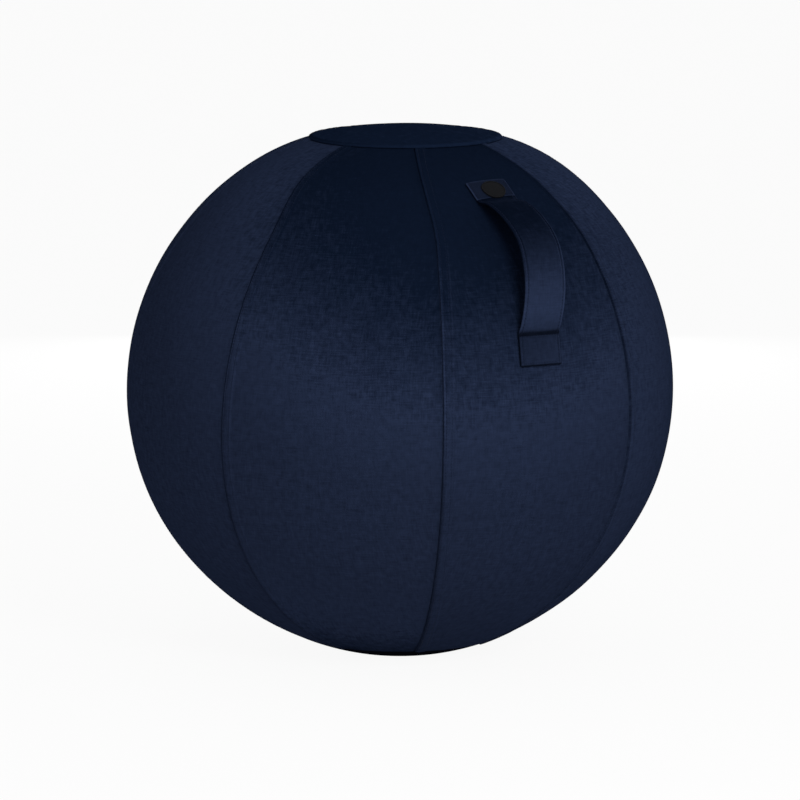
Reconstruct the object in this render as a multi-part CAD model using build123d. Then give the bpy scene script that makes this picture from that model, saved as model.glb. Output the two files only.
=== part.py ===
"""Sitting ball: an air-filled ball in a sewn cover of gores, with a cap, a zipped base and a carrying strap.

Millimetres, +Z up. The origin is the middle of the flat base, on the floor. The strap faces -Y.
"""

import os
from math import acos, asin, copysign, cos, degrees, radians, sin, sqrt

from build123d import *

# The outline, as tangent arcs. Angles are the surface normal's angle from level.
BALL_RADIUS = 325.0
CROWN_TURN = 51.0  # above this the gores draw in towards the cap
CROWN_RADIUS = 250.0
BELLY_TURN = 3.0  # below this the ball sits down into its base
BELLY_RADIUS = 304.0
FLANK_TURN = 37.5
FLANK_RADIUS = 348.0
UNDER_TURN = 66.0
UNDER_RADIUS = 311.0
FOOT_TURN = 78.0
FOOT_RADIUS = 30.0

# The sewn cover
GORES = 8
CLOTH = 2.0
SEAM_GAP = 0.4
WELT_WIDTH = 10.5  # seam allowance pressed to one side and topstitched
WELT_RISE = 1.0
WELT_CLEAR = 0.8  # the welt stops this far short of the cap and the base
CAP_RADIUS = 114.7
CAP_DOME_RISE = 9.0
CAP_PROUD = 3.4  # height of the cap's rim above the gores
CAP_EDGE = 2.4
CAP_LAP = 10.5  # gore cloth turned in under the cap
BASE_RADIUS = 110.0

# The ball and its air plug
BALL_CLEAR = 0.3
BALL_WALL = 1.0
BALL_CROWN_CLEAR = 0.3
DENT_CLEAR = 1.0  # air behind the slider, beside the tapes and past their ends
DENT_MARGIN = 1.5
DENT_TAIL_TURN = 0.8
PLUG_UP = 88.1021  # the plug sits this far up the flank from the middle of the zip
PLUG_BOSS_RADIUS = 17.0
PLUG_BOSS_DEPTH = 6.0
PLUG_HEAD_RADIUS = 8.0
PLUG_HEAD = 1.6
PLUG_STEM_RADIUS = 4.0
PLUG_TIP_RADIUS = 3.2
PLUG_STEM = 24.0
PLUG_RIDGE = 0.6
PLUG_CLEAR = 0.08

# The carrying strap
STRAP_WIDTH = 52.0
STRAP_THICK = 3.4
STRAP_HEADING = 270.0
UPPER_STITCH = 47.4  # latitudes of the two stitch lines that the strap rises from
LOWER_STITCH = 17.4
STRAP_RISE = 46.5  # above the chord between the stitch lines
STRAP_SEAT = 0.2
TAB_LENGTH = 36.0
TAB_THICK = 3.2
GRIP_REACH = 66.0  # the loose middle of the strap, each way from its centre
GRIP_GAP = 0.3
BADGE_RADIUS = 15.0
BADGE_THICK = 1.5
BADGE_RIM = 1.4
BADGE_RIM_RISE = 0.5

# The curved zip along the base seam
ZIP_HEADING = -22.5  # heading of the closed end
ZIP_GORES = 3
ZIP_WINDOW = 6.0  # cloth cut back this far each side of the chain
TAPE = 0.8
TAPE_EDGE = 3.4
TAPE_REACH = 15.0
TAPE_TAIL_TURN = 2.4  # tape past each end of the window
TAPE_SEAT = 0.1
TOOTH_PITCH = 3.2
TOOTH_ROOT = 3.2
TOOTH_NECK = 1.1
TOOTH_HEAD = 1.7
TOOTH_HEAD_FROM = 0.5
TOOTH_TIP = 1.7
TOOTH_THICK = 2.6
STOP_LENGTH = 3.0
SLIDER_LENGTH = 13.0
SLIDER_FRONT = 5.2
SLIDER_REAR = 4.5
SLIDER_SHOULDER = 4.0
SLIDER_ROUND = 1.0
SLIDER_PLATE = 1.4
SLIDER_CLEAR = 0.35
SLIDER_CHANNEL = 3.75
DIVIDER = 1.3
DIVIDER_LENGTH = 3.6
DIVIDER_BACK = 1.0
CROWN_LIFT = 1.5
BAIL_RADIUS = 3.0
BAIL_HOLE = 1.5
BAIL_WIDTH = 2.4
PULL_BAR = 0.75
PULL_THICK = 1.3
PULL_EYE = 3.5
PULL_ARM = 1.5
PULL_LENGTH = 24.0
PULL_HOLE = 1.6
OVERLAP = 0.1  # by which joined solids reach into each other


def chain(turns):
    """Tangent arcs met in turning away from level: start angle, centre out, centre along, radius."""
    arcs = [(0.0, 0.0, 0.0, BALL_RADIUS)]
    for start, radius in turns:
        last, out, along, before = arcs[-1]
        step = before - radius
        arcs.append((start, out + step * cos(radians(start)), along + step * sin(radians(start)), radius))
    return arcs


ABOVE = chain([(CROWN_TURN, CROWN_RADIUS)])
BELOW = chain(
    [
        (BELLY_TURN, BELLY_RADIUS),
        (FLANK_TURN, FLANK_RADIUS),
        (UNDER_TURN, UNDER_RADIUS),
        (FOOT_TURN, FOOT_RADIUS),
    ]
)
CENTRE = BELOW[-1][2] + BELOW[-1][3]
BREAKS = sorted([-arc[0] for arc in ABOVE[1:]] + [arc[0] for arc in BELOW[1:]])


def skin(turn, depth=0.0):
    """Point of the outline in the XZ plane whose normal is turn degrees below level, sunk by depth."""
    side = [arc for arc in (BELOW if turn > 0 else ABOVE) if arc[0] <= abs(turn)][-1]
    reach = side[3] - depth
    out = side[1] + reach * cos(radians(turn))
    along = side[2] + reach * sin(radians(abs(turn)))
    return Vector(out, 0, CENTRE - copysign(along, turn))


def turn_at(out, below):
    """Turn at which the outline is this far from the axis, on the lower or the upper half."""
    for start, centre, along, radius in reversed(BELOW if below else ABOVE):
        part = (out - centre) / radius
        if abs(part) <= 1 and degrees(acos(part)) >= start:
            return copysign(degrees(acos(part)), 1 if below else -1)
    raise ValueError("no outline there")


def run(first, last, depth):
    """Arcs of the outline from one turn to another, sunk by depth."""
    stops = [first] + [b for b in BREAKS if first < b < last] + [last]
    return [
        ThreePointArc(skin(a, depth), skin((a + b) / 2, depth), skin(b, depth))
        for a, b in zip(stops, stops[1:])
    ]


def layer(first, last, outer, inner):
    """Section of a layer of the cover between two turns and two depths."""
    ends = [Line(skin(first, inner), skin(first, outer)), Line(skin(last, outer), skin(last, inner))]
    return make_face(run(first, last, outer) + run(first, last, inner) + ends)


def dome(radius, rise, top, reach):
    """Arc from the axis at height top, falling by rise at radius, drawn out to reach."""
    curve = (radius**2 + rise**2) / (2 * rise)
    drop = curve - sqrt(curve**2 - reach**2)
    half = curve - sqrt(curve**2 - (reach / 2) ** 2)
    return ThreePointArc((0, 0, top), (reach / 2, 0, top - half), (reach, 0, top - drop)), top - drop


def turned(shape, heading):
    return Rot(0, 0, heading) * shape


def save(shape, name):
    shape.label = name
    export_step(shape, f"parts/{name}.step")


os.makedirs("parts", exist_ok=True)
STEP = 360 / GORES

# Where the cap and the base meet the gores
LAP_TURN = turn_at(CAP_RADIUS - CAP_LAP, False)
RIM_TURN = turn_at(CAP_RADIUS + WELT_CLEAR, False)
BASE_TURN = turn_at(BASE_RADIUS, True)
BASE_SLIT = degrees(SEAM_GAP / 2 / UNDER_RADIUS)
WINDOW_TURN = degrees(ZIP_WINDOW / UNDER_RADIUS)

# The zip's own axes: u runs up the flank, v out of the cloth, y along the chain
ZIP_SEAT = skin(BASE_TURN)
U_AXIS = Vector(sin(radians(BASE_TURN)), 0, cos(radians(BASE_TURN)))
V_AXIS = Vector(cos(radians(BASE_TURN)), 0, -sin(radians(BASE_TURN)))
ZIP_PLANE = Plane(origin=ZIP_SEAT, x_dir=U_AXIS, z_dir=V_AXIS)
ZIP_SPAN = STEP * ZIP_GORES


def zip_ring(low_u, high_u, low_v, high_v, start, span):
    """Part ring about the axis with a rectangular section in the zip's u and v."""
    corners = [(low_u, low_v), (high_u, low_v), (high_u, high_v), (low_u, high_v)]
    points = [ZIP_SEAT + U_AXIS * u + V_AXIS * v for u, v in corners]
    return turned(revolve(make_face(Polyline(*points, close=True)), Axis.Z, span), start)


def gore(lower):
    """One gore between headings 0 and STEP, with its welt along the first edge."""
    cloth = revolve(layer(LAP_TURN, lower, 0, CLOTH), Axis.Z, STEP)
    welt_low = lower - degrees(WELT_CLEAR / UNDER_RADIUS)
    welt = revolve(layer(RIM_TURN, welt_low, -WELT_RISE, CLOTH / 2), Axis.Z, STEP)
    tall = 3 * BALL_RADIUS
    strip = Pos(BALL_RADIUS, WELT_WIDTH / 2, CENTRE) * Box(2 * BALL_RADIUS, WELT_WIDTH, tall)
    slit = Pos(BALL_RADIUS, 0, CENTRE) * Box(2 * BALL_RADIUS, SEAM_GAP, tall)
    return cloth + (welt & strip) - slit - turned(slit, STEP)


# Gores, numbered about the axis from the one that carries the strap
PLAIN_GORE = gore(BASE_TURN - BASE_SLIT)
ZIPPED_GORE = gore(BASE_TURN - WINDOW_TURN)
for number in range(GORES):
    start = STRAP_HEADING + STEP * (number - 0.5)
    past_zip = (start - ZIP_HEADING + 1) % 360
    save(turned(ZIPPED_GORE if past_zip < ZIP_SPAN else PLAIN_GORE, start), f"cover_panel_{number + 1}")

# Cap: a shallow dome lapped over the gores
BALL_TOP_REACH = CAP_RADIUS - CAP_LAP - SEAM_GAP
SEAT_DEPTH = CLOTH + BALL_CLEAR
ball_turn = turn_at(BALL_TOP_REACH, False)
ball_shoulder = skin(ball_turn, SEAT_DEPTH)
rim_turn = turn_at(CAP_RADIUS, False)
rim_point = skin(rim_turn, -SEAM_GAP / 2)
RIM_TOP = rim_point.Z + CAP_PROUD
FLAT_REACH = CAP_RADIUS - CAP_EDGE
CAP_TOP = RIM_TOP + CAP_DOME_RISE
cap_over, cap_edge_z = dome(FLAT_REACH, CAP_DOME_RISE, CAP_TOP, FLAT_REACH)
BALL_TOP = CAP_TOP - CLOTH - BALL_CROWN_CLEAR
ball_rise = BALL_TOP - ball_shoulder.Z
cap_under, under_z = dome(ball_shoulder.X, ball_rise, BALL_TOP + BALL_CROWN_CLEAR, ball_shoulder.X)
lap_turn = turn_at(ball_shoulder.X, False)
lap_point = skin(lap_turn, -SEAM_GAP / 2)
edge_low = Vector(CAP_RADIUS, 0, cap_edge_z - CAP_EDGE)
bend = CAP_EDGE * sin(radians(45))
edge_mid = Vector(FLAT_REACH + bend, 0, cap_edge_z - CAP_EDGE + bend)
cap_section = make_face(
    [cap_over, ThreePointArc((FLAT_REACH, 0, cap_edge_z), edge_mid, edge_low)]
    + [Line(edge_low, rim_point)]
    + run(lap_turn, rim_turn, -SEAM_GAP / 2)
    + [Line(lap_point, (ball_shoulder.X, 0, under_z)), cap_under]
    + [Line((0, 0, BALL_TOP + BALL_CROWN_CLEAR), (0, 0, CAP_TOP))]
)
save(revolve(cap_section, Axis.Z), "top_cap")

# Base: a flat foot with a rounded edge, cut back along the zip
base_out = BASE_TURN + BASE_SLIT
base_section = make_face(
    run(base_out, 90.0, 0)
    + run(base_out, 90.0, CLOTH)
    + [Line(skin(base_out), skin(base_out, CLOTH))]
    + [Line(skin(90.0), (0, 0, 0)), Line((0, 0, 0), (0, 0, CLOTH)), Line((0, 0, CLOTH), skin(90.0, CLOTH))]
)
zip_slot = zip_ring(-ZIP_WINDOW, ZIP_WINDOW, -2 * CLOTH, CLOTH, ZIP_HEADING, ZIP_SPAN)
save(revolve(base_section, Axis.Z) - zip_slot, "base_panel")

# Ball: a thin inflated skin, dented along the back of the zip, with a boss for its plug
TAPE_TOP = -CLOTH - TAPE_SEAT
MID_V = TAPE_TOP - TAPE / 2
CHANNEL = TOOTH_THICK / 2 + SLIDER_CLEAR
DENT = MID_V - CHANNEL - SLIDER_PLATE - DENT_CLEAR


def ball_form(depth, top):
    """Solid bounded by the ball's skin sunk by depth, with its own crown."""
    shoulder = skin(ball_turn, depth)
    crown, low = dome(shoulder.X, top - shoulder.Z, top, shoulder.X)
    floor = CENTRE - (BELOW[-1][2] + BELOW[-1][3] - depth)
    edges = run(ball_turn, 90.0, depth) + [crown, Line((0, 0, top), (0, 0, floor))]
    return revolve(make_face(edges + [Line((0, 0, floor), skin(90.0, depth))]), Axis.Z)


def dent(grow):
    reach = TAPE_REACH + DENT_MARGIN + grow
    tail = TAPE_TAIL_TURN + DENT_TAIL_TURN + degrees(grow / BASE_RADIUS)
    return zip_ring(-reach, reach, DENT - grow, CLOTH, ZIP_HEADING - tail, ZIP_SPAN + 2 * tail)


outer_ball = ball_form(SEAT_DEPTH, BALL_TOP) - dent(0)
inner_ball = ball_form(SEAT_DEPTH + BALL_WALL, BALL_TOP - BALL_WALL) - dent(BALL_WALL)
PLUG_TURN = BASE_TURN - degrees(PLUG_UP / FLANK_RADIUS)
PLUG_HEADING = ZIP_HEADING + ZIP_SPAN / 2
plug_out = Vector(cos(radians(PLUG_TURN)), 0, -sin(radians(PLUG_TURN)))
plug_plane = Plane(origin=skin(PLUG_TURN, SEAT_DEPTH), x_dir=(0, 1, 0), z_dir=plug_out)
low_end = (Align.CENTER, Align.CENTER, Align.MIN)
boss = Cylinder(PLUG_BOSS_RADIUS, 2 * PLUG_BOSS_DEPTH, align=low_end)
boss = plug_plane * Pos(0, 0, -PLUG_BOSS_DEPTH) * boss
seat = Cylinder(PLUG_HEAD_RADIUS + PLUG_CLEAR, 3 * CLOTH, align=low_end)
seat = plug_plane * Pos(0, 0, -PLUG_HEAD - PLUG_CLEAR) * seat
stem_line = [
    (0, -PLUG_HEAD),
    (PLUG_STEM_RADIUS, -PLUG_HEAD),
    (PLUG_STEM_RADIUS, -PLUG_BOSS_DEPTH - PLUG_CLEAR),
    (PLUG_STEM_RADIUS + PLUG_RIDGE, -PLUG_BOSS_DEPTH - 2 * PLUG_RIDGE),
    (PLUG_TIP_RADIUS, -PLUG_STEM),
    (0, -PLUG_STEM),
]
stem = revolve(make_face(Polyline(*[(x, 0, z) for x, z in stem_line], close=True)), Axis.Z)
head = Pos(0, 0, -PLUG_HEAD) * Cylinder(PLUG_HEAD_RADIUS, PLUG_HEAD - PLUG_CLEAR, align=low_end)
bore = plug_plane * Cylinder(PLUG_STEM_RADIUS + PLUG_CLEAR, 4 * PLUG_BOSS_DEPTH)
boss = turned(boss, PLUG_HEADING) & outer_ball
skin_shell = outer_ball - inner_ball + boss - turned(seat, PLUG_HEADING) - turned(bore, PLUG_HEADING)
save(skin_shell, "inner_ball")
save(turned(plug_plane * (stem + head), PLUG_HEADING), "air_plug")

# Strap: two sewn tabs and the loose grip between them, built in the XZ plane and turned to its heading
MID_LATITUDE = (UPPER_STITCH + LOWER_STITCH) / 2
HALF_ANGLE = (UPPER_STITCH - LOWER_STITCH) / 2
HALF_CHORD = BALL_RADIUS * sin(radians(HALF_ANGLE))
CHORD_OUT = BALL_RADIUS * cos(radians(HALF_ANGLE))
BOW = (HALF_CHORD**2 + STRAP_RISE**2) / (2 * STRAP_RISE)
TAB_TURN = degrees(TAB_LENGTH / BALL_RADIUS)
strap_out = Vector(cos(radians(MID_LATITUDE)), 0, sin(radians(MID_LATITUDE)))
bow_centre = Vector(0, 0, CENTRE) + strap_out * (CHORD_OUT + STRAP_RISE - BOW)
hoop = Plane(origin=bow_centre, x_dir=strap_out, z_dir=(0, 1, 0))
ring = Circle(BOW + STRAP_THICK / 2) - Circle(BOW - STRAP_THICK / 2)
band = extrude(hoop * ring, STRAP_WIDTH / 2, both=True)
solid_ball = ball_form(-STRAP_SEAT, CAP_TOP)


def across(first, last):
    """The part of the band between two distances along the chord, on the outer side."""
    middle = hoop * Pos(BOW, (first + last) / 2, 0)
    return band & (middle * Box(2 * BOW, last - first, 2 * STRAP_WIDTH))


def patch(first, last, outer, inner):
    """A strap-wide piece of a layer over the ball, between two turns."""
    sweep = degrees(asin(STRAP_WIDTH / skin(first).X))
    cloth = turned(revolve(layer(first, last, outer, inner), Axis.Z, 2 * sweep), -sweep)
    return cloth & (Pos(BALL_RADIUS, 0, CENTRE) * Box(2 * BALL_RADIUS, STRAP_WIDTH, 3 * BALL_RADIUS))


TAB_TOP = STRAP_SEAT + TAB_THICK
upper_tab = patch(-UPPER_STITCH - TAB_TURN, -UPPER_STITCH, -TAB_TOP, -STRAP_SEAT)
lower_tab = patch(-LOWER_STITCH, -LOWER_STITCH + TAB_TURN, -TAB_TOP, -STRAP_SEAT)
upper_root = across(-BOW - STRAP_THICK, -GRIP_REACH - GRIP_GAP / 2) - solid_ball
lower_root = across(GRIP_REACH + GRIP_GAP / 2, BOW + STRAP_THICK) - solid_ball
save(turned(upper_tab + upper_root, STRAP_HEADING), "handle_upper_end")
save(turned(lower_tab + lower_root, STRAP_HEADING), "handle_lower_end")
save(turned(across(-GRIP_REACH + GRIP_GAP / 2, GRIP_REACH - GRIP_GAP / 2), STRAP_HEADING), "handle_grip")

# Badge: a plain round patch with a raised rim, on the upper tab
badge_turn = -UPPER_STITCH - TAB_TURN / 2
badge_out = Vector(cos(radians(badge_turn)), 0, -sin(radians(badge_turn)))
badge_axis = Plane(origin=skin(badge_turn), x_dir=(0, 1, 0), z_dir=badge_out)
badge_low = TAB_TOP + TAPE_SEAT
field = patch(badge_turn - TAB_TURN, badge_turn + TAB_TURN, -badge_low - BADGE_THICK, -badge_low)
rim_top = badge_low + BADGE_THICK + BADGE_RIM_RISE
raised = patch(badge_turn - TAB_TURN, badge_turn + TAB_TURN, -rim_top, -badge_low)
disc = badge_axis * Cylinder(BADGE_RADIUS, 4 * TAB_TOP)
middle = badge_axis * Cylinder(BADGE_RADIUS - BADGE_RIM, 5 * TAB_TOP)
save(turned((raised & (disc - middle)) + (field & disc), STRAP_HEADING), "handle_badge")

# Zip tapes, lying under the cloth on each side of the chain
TAPE_FROM = degrees(TAPE_EDGE / UNDER_RADIUS)
TAPE_TO = degrees(TAPE_REACH / UNDER_RADIUS)
tape_low = CLOTH + TAPE_SEAT + TAPE
for side, first, last in (("outer", -TAPE_TO, -TAPE_FROM), ("inner", TAPE_FROM, TAPE_TO)):
    section = layer(BASE_TURN + first, BASE_TURN + last, CLOTH + TAPE_SEAT, tape_low)
    tape = revolve(section, Axis.Z, ZIP_SPAN + 2 * TAPE_TAIL_TURN)
    save(turned(tape, ZIP_HEADING - TAPE_TAIL_TURN), f"zip_tape_{side}")

# Chain: stops, then teeth in mesh from behind the slider's divider to the far stop
per_mm = degrees(1 / BASE_RADIUS)
STOP_AT = ZIP_HEADING + STOP_LENGTH * per_mm
SLIDER_AT = STOP_AT + (STOP_LENGTH / 2 + SLIDER_LENGTH / 2 + SLIDER_CLEAR) * per_mm
FAR_STOP_AT = ZIP_HEADING + ZIP_SPAN - 2 * STOP_LENGTH * per_mm
pitch = TOOTH_PITCH * per_mm
teeth = int((FAR_STOP_AT - STOP_LENGTH * per_mm - SLIDER_AT) / pitch)
SLIDER_TRAVEL = FAR_STOP_AT - SLIDER_AT - (STOP_LENGTH + SLIDER_LENGTH / 2 + SLIDER_CLEAR) * per_mm
half = [
    (TOOTH_ROOT, TOOTH_NECK / 2),
    (-TOOTH_HEAD_FROM, TOOTH_NECK / 2),
    (-TOOTH_HEAD_FROM, TOOTH_HEAD / 2),
    (-TOOTH_TIP, TOOTH_HEAD / 2),
]
outline = half + [(u, -y) for u, y in reversed(half)]
chain_plane = ZIP_PLANE * Pos(0, 0, MID_V)


def tooth(way):
    flat = make_face(Polyline(*[(way * u, y) for u, y in outline], close=True))
    return chain_plane * extrude(flat, TOOTH_THICK / 2, both=True)


for side, way, shift in (("outer", 1, 0.0), ("inner", -1, 0.5)):
    row = [turned(tooth(way), SLIDER_AT + (number + shift) * pitch) for number in range(teeth)]
    save(Compound(children=row), f"zip_teeth_{side}")

clip_width = TOOTH_ROOT - TOOTH_TIP
clip_at = TOOTH_TIP + clip_width / 2
clip = Box(clip_width, STOP_LENGTH, TOOTH_THICK)
clips = [turned(chain_plane * Pos(way * clip_at, 0, 0) * clip, STOP_AT) for way in (1, -1)]
far_stop = turned(chain_plane * Box(2 * TOOTH_ROOT, 2 * STOP_LENGTH, TOOTH_THICK), FAR_STOP_AT)
save(Compound(children=clips + [far_stop]), "zip_stops")

# Slider: two plates held apart by a divider, edges turned in over the tapes, and a bail on the outside
nose = SLIDER_LENGTH / 2
plan = [(SLIDER_FRONT, nose), (SLIDER_FRONT, nose - SLIDER_SHOULDER), (SLIDER_REAR, -nose)]
plan = plan + [(-u, y) for u, y in reversed(plan)]
slider_face = fillet(make_face(Polyline(*plan, close=True)).vertices(), SLIDER_ROUND)
plate = extrude(slider_face, SLIDER_PLATE)
lip_height = CHANNEL - TAPE / 2 - SLIDER_CLEAR
lip = extrude(slider_face, lip_height) - Box(2 * SLIDER_CHANNEL, 2 * SLIDER_LENGTH, 4 * CHANNEL)
low = -CHANNEL - SLIDER_PLATE
divider = extrude(Ellipse(DIVIDER, DIVIDER_LENGTH / 2), CHANNEL, both=True)
divider = Pos(0, nose - DIVIDER_BACK - DIVIDER_LENGTH / 2, 0) * divider
body = Pos(0, 0, CHANNEL) * plate + Pos(0, 0, low) * plate + divider
body += Pos(0, 0, CHANNEL - lip_height) * lip + Pos(0, 0, -CHANNEL) * lip
top = CHANNEL + SLIDER_PLATE
PIVOT = top + CROWN_LIFT
side_view = Plane(origin=(0, 0, PIVOT), x_dir=(0, 1, 0), z_dir=(1, 0, 0))
arch = Circle(BAIL_RADIUS) + Pos(0, -CROWN_LIFT / 2) * Rectangle(2 * BAIL_RADIUS, CROWN_LIFT + OVERLAP)
arch -= Pos(0, -BAIL_RADIUS - CROWN_LIFT) * Rectangle(4 * BAIL_RADIUS, 2 * BAIL_RADIUS - OVERLAP)
eye = Circle(BAIL_HOLE) + Pos(0, -CROWN_LIFT) * Rectangle(2 * BAIL_HOLE, 2 * CROWN_LIFT)
bail = extrude(side_view * arch, BAIL_WIDTH / 2, both=True) - extrude(side_view * eye, BAIL_WIDTH, both=True)
bail -= Pos(0, 0, top - SLIDER_PLATE) * Box(4 * BAIL_WIDTH, 4 * BAIL_RADIUS, SLIDER_PLATE)
save(turned(chain_plane * (body + bail), SLIDER_AT), "zip_slider")

# Pull: a bar under the bail, two arms and a rounded tongue with a hole
arm_at = BAIL_WIDTH / 2 + SLIDER_CLEAR + PULL_ARM / 2
half_wide = arm_at + PULL_ARM / 2
tongue = Pos(0, -(PULL_EYE + PULL_LENGTH) / 2) * Rectangle(2 * half_wide, PULL_LENGTH - PULL_EYE)
tongue = fillet(tongue.vertices().group_by(Axis.Y)[0], half_wide - OVERLAP)
tongue -= Pos(0, half_wide - PULL_LENGTH) * Circle(PULL_HOLE)
flat = extrude(tongue, PULL_THICK / 2, both=True)
for way in (1, -1):
    flat += Pos(way * arm_at, -PULL_EYE / 2, 0) * Box(PULL_ARM, PULL_EYE + 2 * OVERLAP, PULL_THICK)
flat += Rot(0, 90, 0) * Cylinder(PULL_BAR, 2 * half_wide)
save(turned(chain_plane * Pos(0, 0, PIVOT) * flat, SLIDER_AT), "zip_pull")
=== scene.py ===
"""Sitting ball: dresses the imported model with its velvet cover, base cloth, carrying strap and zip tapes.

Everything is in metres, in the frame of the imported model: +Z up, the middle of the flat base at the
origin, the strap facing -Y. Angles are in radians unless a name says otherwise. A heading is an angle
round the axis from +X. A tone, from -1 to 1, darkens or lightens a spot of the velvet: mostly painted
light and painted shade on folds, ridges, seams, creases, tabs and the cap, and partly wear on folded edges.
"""

import bpy
import numpy as np
from bpy.props import FloatProperty, FloatVectorProperty, IntProperty, PointerProperty
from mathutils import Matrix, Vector


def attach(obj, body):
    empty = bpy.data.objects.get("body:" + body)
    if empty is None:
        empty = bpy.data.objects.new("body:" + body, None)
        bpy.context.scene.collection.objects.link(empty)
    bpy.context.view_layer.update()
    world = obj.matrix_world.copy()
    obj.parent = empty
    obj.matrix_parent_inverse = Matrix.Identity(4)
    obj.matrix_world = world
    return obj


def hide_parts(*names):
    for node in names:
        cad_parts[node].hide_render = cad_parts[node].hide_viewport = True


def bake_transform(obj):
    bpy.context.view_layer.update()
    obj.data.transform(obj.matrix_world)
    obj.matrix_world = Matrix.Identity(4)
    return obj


bl_info = {
    "name": "Sitting Ball",
    "version": (1, 0, 0),
    "blender": (4, 5, 0),
    "location": "3D View > Sidebar > Sitting Ball",
    "description": "Velvet covered sitting ball with a carrying strap and a zipped base",
    "category": "Object",
}

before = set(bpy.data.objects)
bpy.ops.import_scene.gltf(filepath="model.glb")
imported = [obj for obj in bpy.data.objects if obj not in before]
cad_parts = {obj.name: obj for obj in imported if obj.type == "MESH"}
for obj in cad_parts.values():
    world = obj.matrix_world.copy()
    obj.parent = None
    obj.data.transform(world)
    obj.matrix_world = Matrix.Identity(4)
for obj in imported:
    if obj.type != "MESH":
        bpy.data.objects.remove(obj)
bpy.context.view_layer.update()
FULL_TURN = 2 * np.pi
FRONT = 1.5 * np.pi  # heading of the strap and of its gore
POLE = 2e-4  # radius of the small ring at a pole, which one face closes
# Painted shade: the darkest tone, inside the seams and on the rings tucked under the cap's rim
SEAM_PAINTED_SHADE = -1.0  # tone inside the seams
WALK_STEPS, SEAM_STEPS = 4001, 3000  # fine steps along the outline and along a seam
ZIP_EDGE = 0.02  # angle over which the zip's window opens


def length(label, value, about):
    """A length property in metres."""
    return FloatProperty(
        name=label, description=about, default=value, precision=5, subtype="DISTANCE", unit="LENGTH"
    )


def angle(label, degrees, about):
    """An angle property, given in degrees and kept in radians."""
    value = float(np.radians(degrees))
    return FloatProperty(name=label, description=about, default=value, subtype="ANGLE", unit="ROTATION")


def share(label, value, about):
    """A plain number."""
    return FloatProperty(name=label, description=about, default=value, precision=4)


def per_gore(label, values, about, **fields):
    """One number for each gore, from the strap's gore on."""
    return FloatVectorProperty(name=label, description=about, default=values, size=len(values), **fields)


def colour(label, red, green, blue, about):
    """A colour property, given as display values from 0 to 255 and kept as linear light."""
    display = np.array([red, green, blue]) / 255.0
    linear = np.where(display <= 0.04045, display / 12.92, ((display + 0.055) / 1.055) ** 2.4)
    return FloatVectorProperty(
        name=label, description=about, default=linear.tolist(), subtype="COLOR", size=3, min=0.0, max=1.0
    )


class OutlineSizes(bpy.types.PropertyGroup):
    """The ball's outline as tangent arcs; turns are the surface normal's angle from level."""

    ball_radius: length("Ball radius", 0.325, "Radius at the equator")
    crown_turn: angle("Crown turn", 51.0, "Above this the gores draw in towards the cap")
    crown_radius: length("Crown radius", 0.250, "Radius of the outline near the cap")
    belly_turn: angle("Belly turn", 3.0, "Below this the ball sits down into its base")
    belly_radius: length("Belly radius", 0.304, "Radius just below the equator")
    flank_turn: angle("Flank turn", 37.5, "Where the flatter flank starts")
    flank_radius: length("Flank radius", 0.348, "Radius of the flank")
    under_turn: angle("Under turn", 66.0, "Where the underside starts")
    under_radius: length("Under radius", 0.311, "Radius of the underside")
    foot_turn: angle("Foot turn", 78.0, "Where the outline rounds on to the floor")
    foot_radius: length("Foot radius", 0.030, "Radius of the rounding on to the floor")


class CoverSizes(bpy.types.PropertyGroup):
    """Sizes of the sewn gores, the cap and the base."""

    gores: IntProperty(name="Gores", description="Number of gores round the ball", default=8)
    cloth: length("Cloth", 0.0009, "Thickness of the velvet")
    seam_gap: length("Seam gap", 0.0001, "Slit between two gores at the bottom of a seam")
    seam_depth: length("Seam depth", 0.0021, "How far a gore's edge turns down into its seam")
    fold: length("Fold", 0.0019, "Radius of the folded edge of a gore")
    plain_fold: length("Plain fold", 0.0015, "Radius of the edge without seam allowance")
    welt_width: length("Welt width", 0.0105, "Seam allowance pressed to one side")
    welt_rise: length("Welt rise", 0.0011, "How far the seam allowance lifts the cloth")
    near_line: length("Near stitch line", 0.0032, "First topstitch line, from the seam")
    far_line: length("Far stitch line", 0.0100, "Second topstitch line, from the seam")
    stitch_sink: length("Stitch sink", 0.0004, "How far a topstitch line pulls the cloth in")
    pucker: length("Pucker", 0.00028, "Height of the puckers along the seams")
    slack: length("Slack", 0.0005, "Unevenness of the taut cloth")
    settle: length("Settle", 0.0074, "How far the soft ball's crown leans to one side")
    settle_heading: angle("Settle heading", -31.0, "Heading that the crown leans towards")
    nod: angle("Nod", 1.5, "How far the sewn cap dips, square to the settle heading")
    wring: angle("Wring", -3.5, "How far the cover has turned on the ball near the cap")
    askew: per_gore(
        "Askew",
        np.radians([0.0, 1.7, 0.0, 0.0, 0.0, 0.0, 0.0, -3.7]).tolist(),
        "How far each gore's first seam turns aside for each ball radius below its start",
        unit="ROTATION",
    )
    askew_start: share("Askew start", 0.7, "Where seams start to turn aside, in ball radii over the equator")
    askew_spread: angle("Askew spread", 20.0, "How far round the ball cloth is drawn along with a seam")
    crease: length("Crease", 0.0011, "Depth of the drawn crease in the left gore")
    cap_radius: length("Cap radius", 0.1147, "Outer radius of the cap")
    cap_flat: length("Cap top radius", 0.1123, "Radius where the cap's edge starts to round over")
    cap_rise: length("Cap rise", 0.0110, "Height of the cap's dome")
    cap_lap: length("Cap lap", 0.0100, "Gore cloth turned in under the cap")
    cap_proud: length("Cap proud", 0.0034, "Height of the cap's rim above the gores")
    base_gap: length("Base gap", 0.00003, "Half the slit between gores and base outside the zip")
    base_radius: length("Base radius", 0.1100, "Radius of the seam between gores and base")


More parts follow.
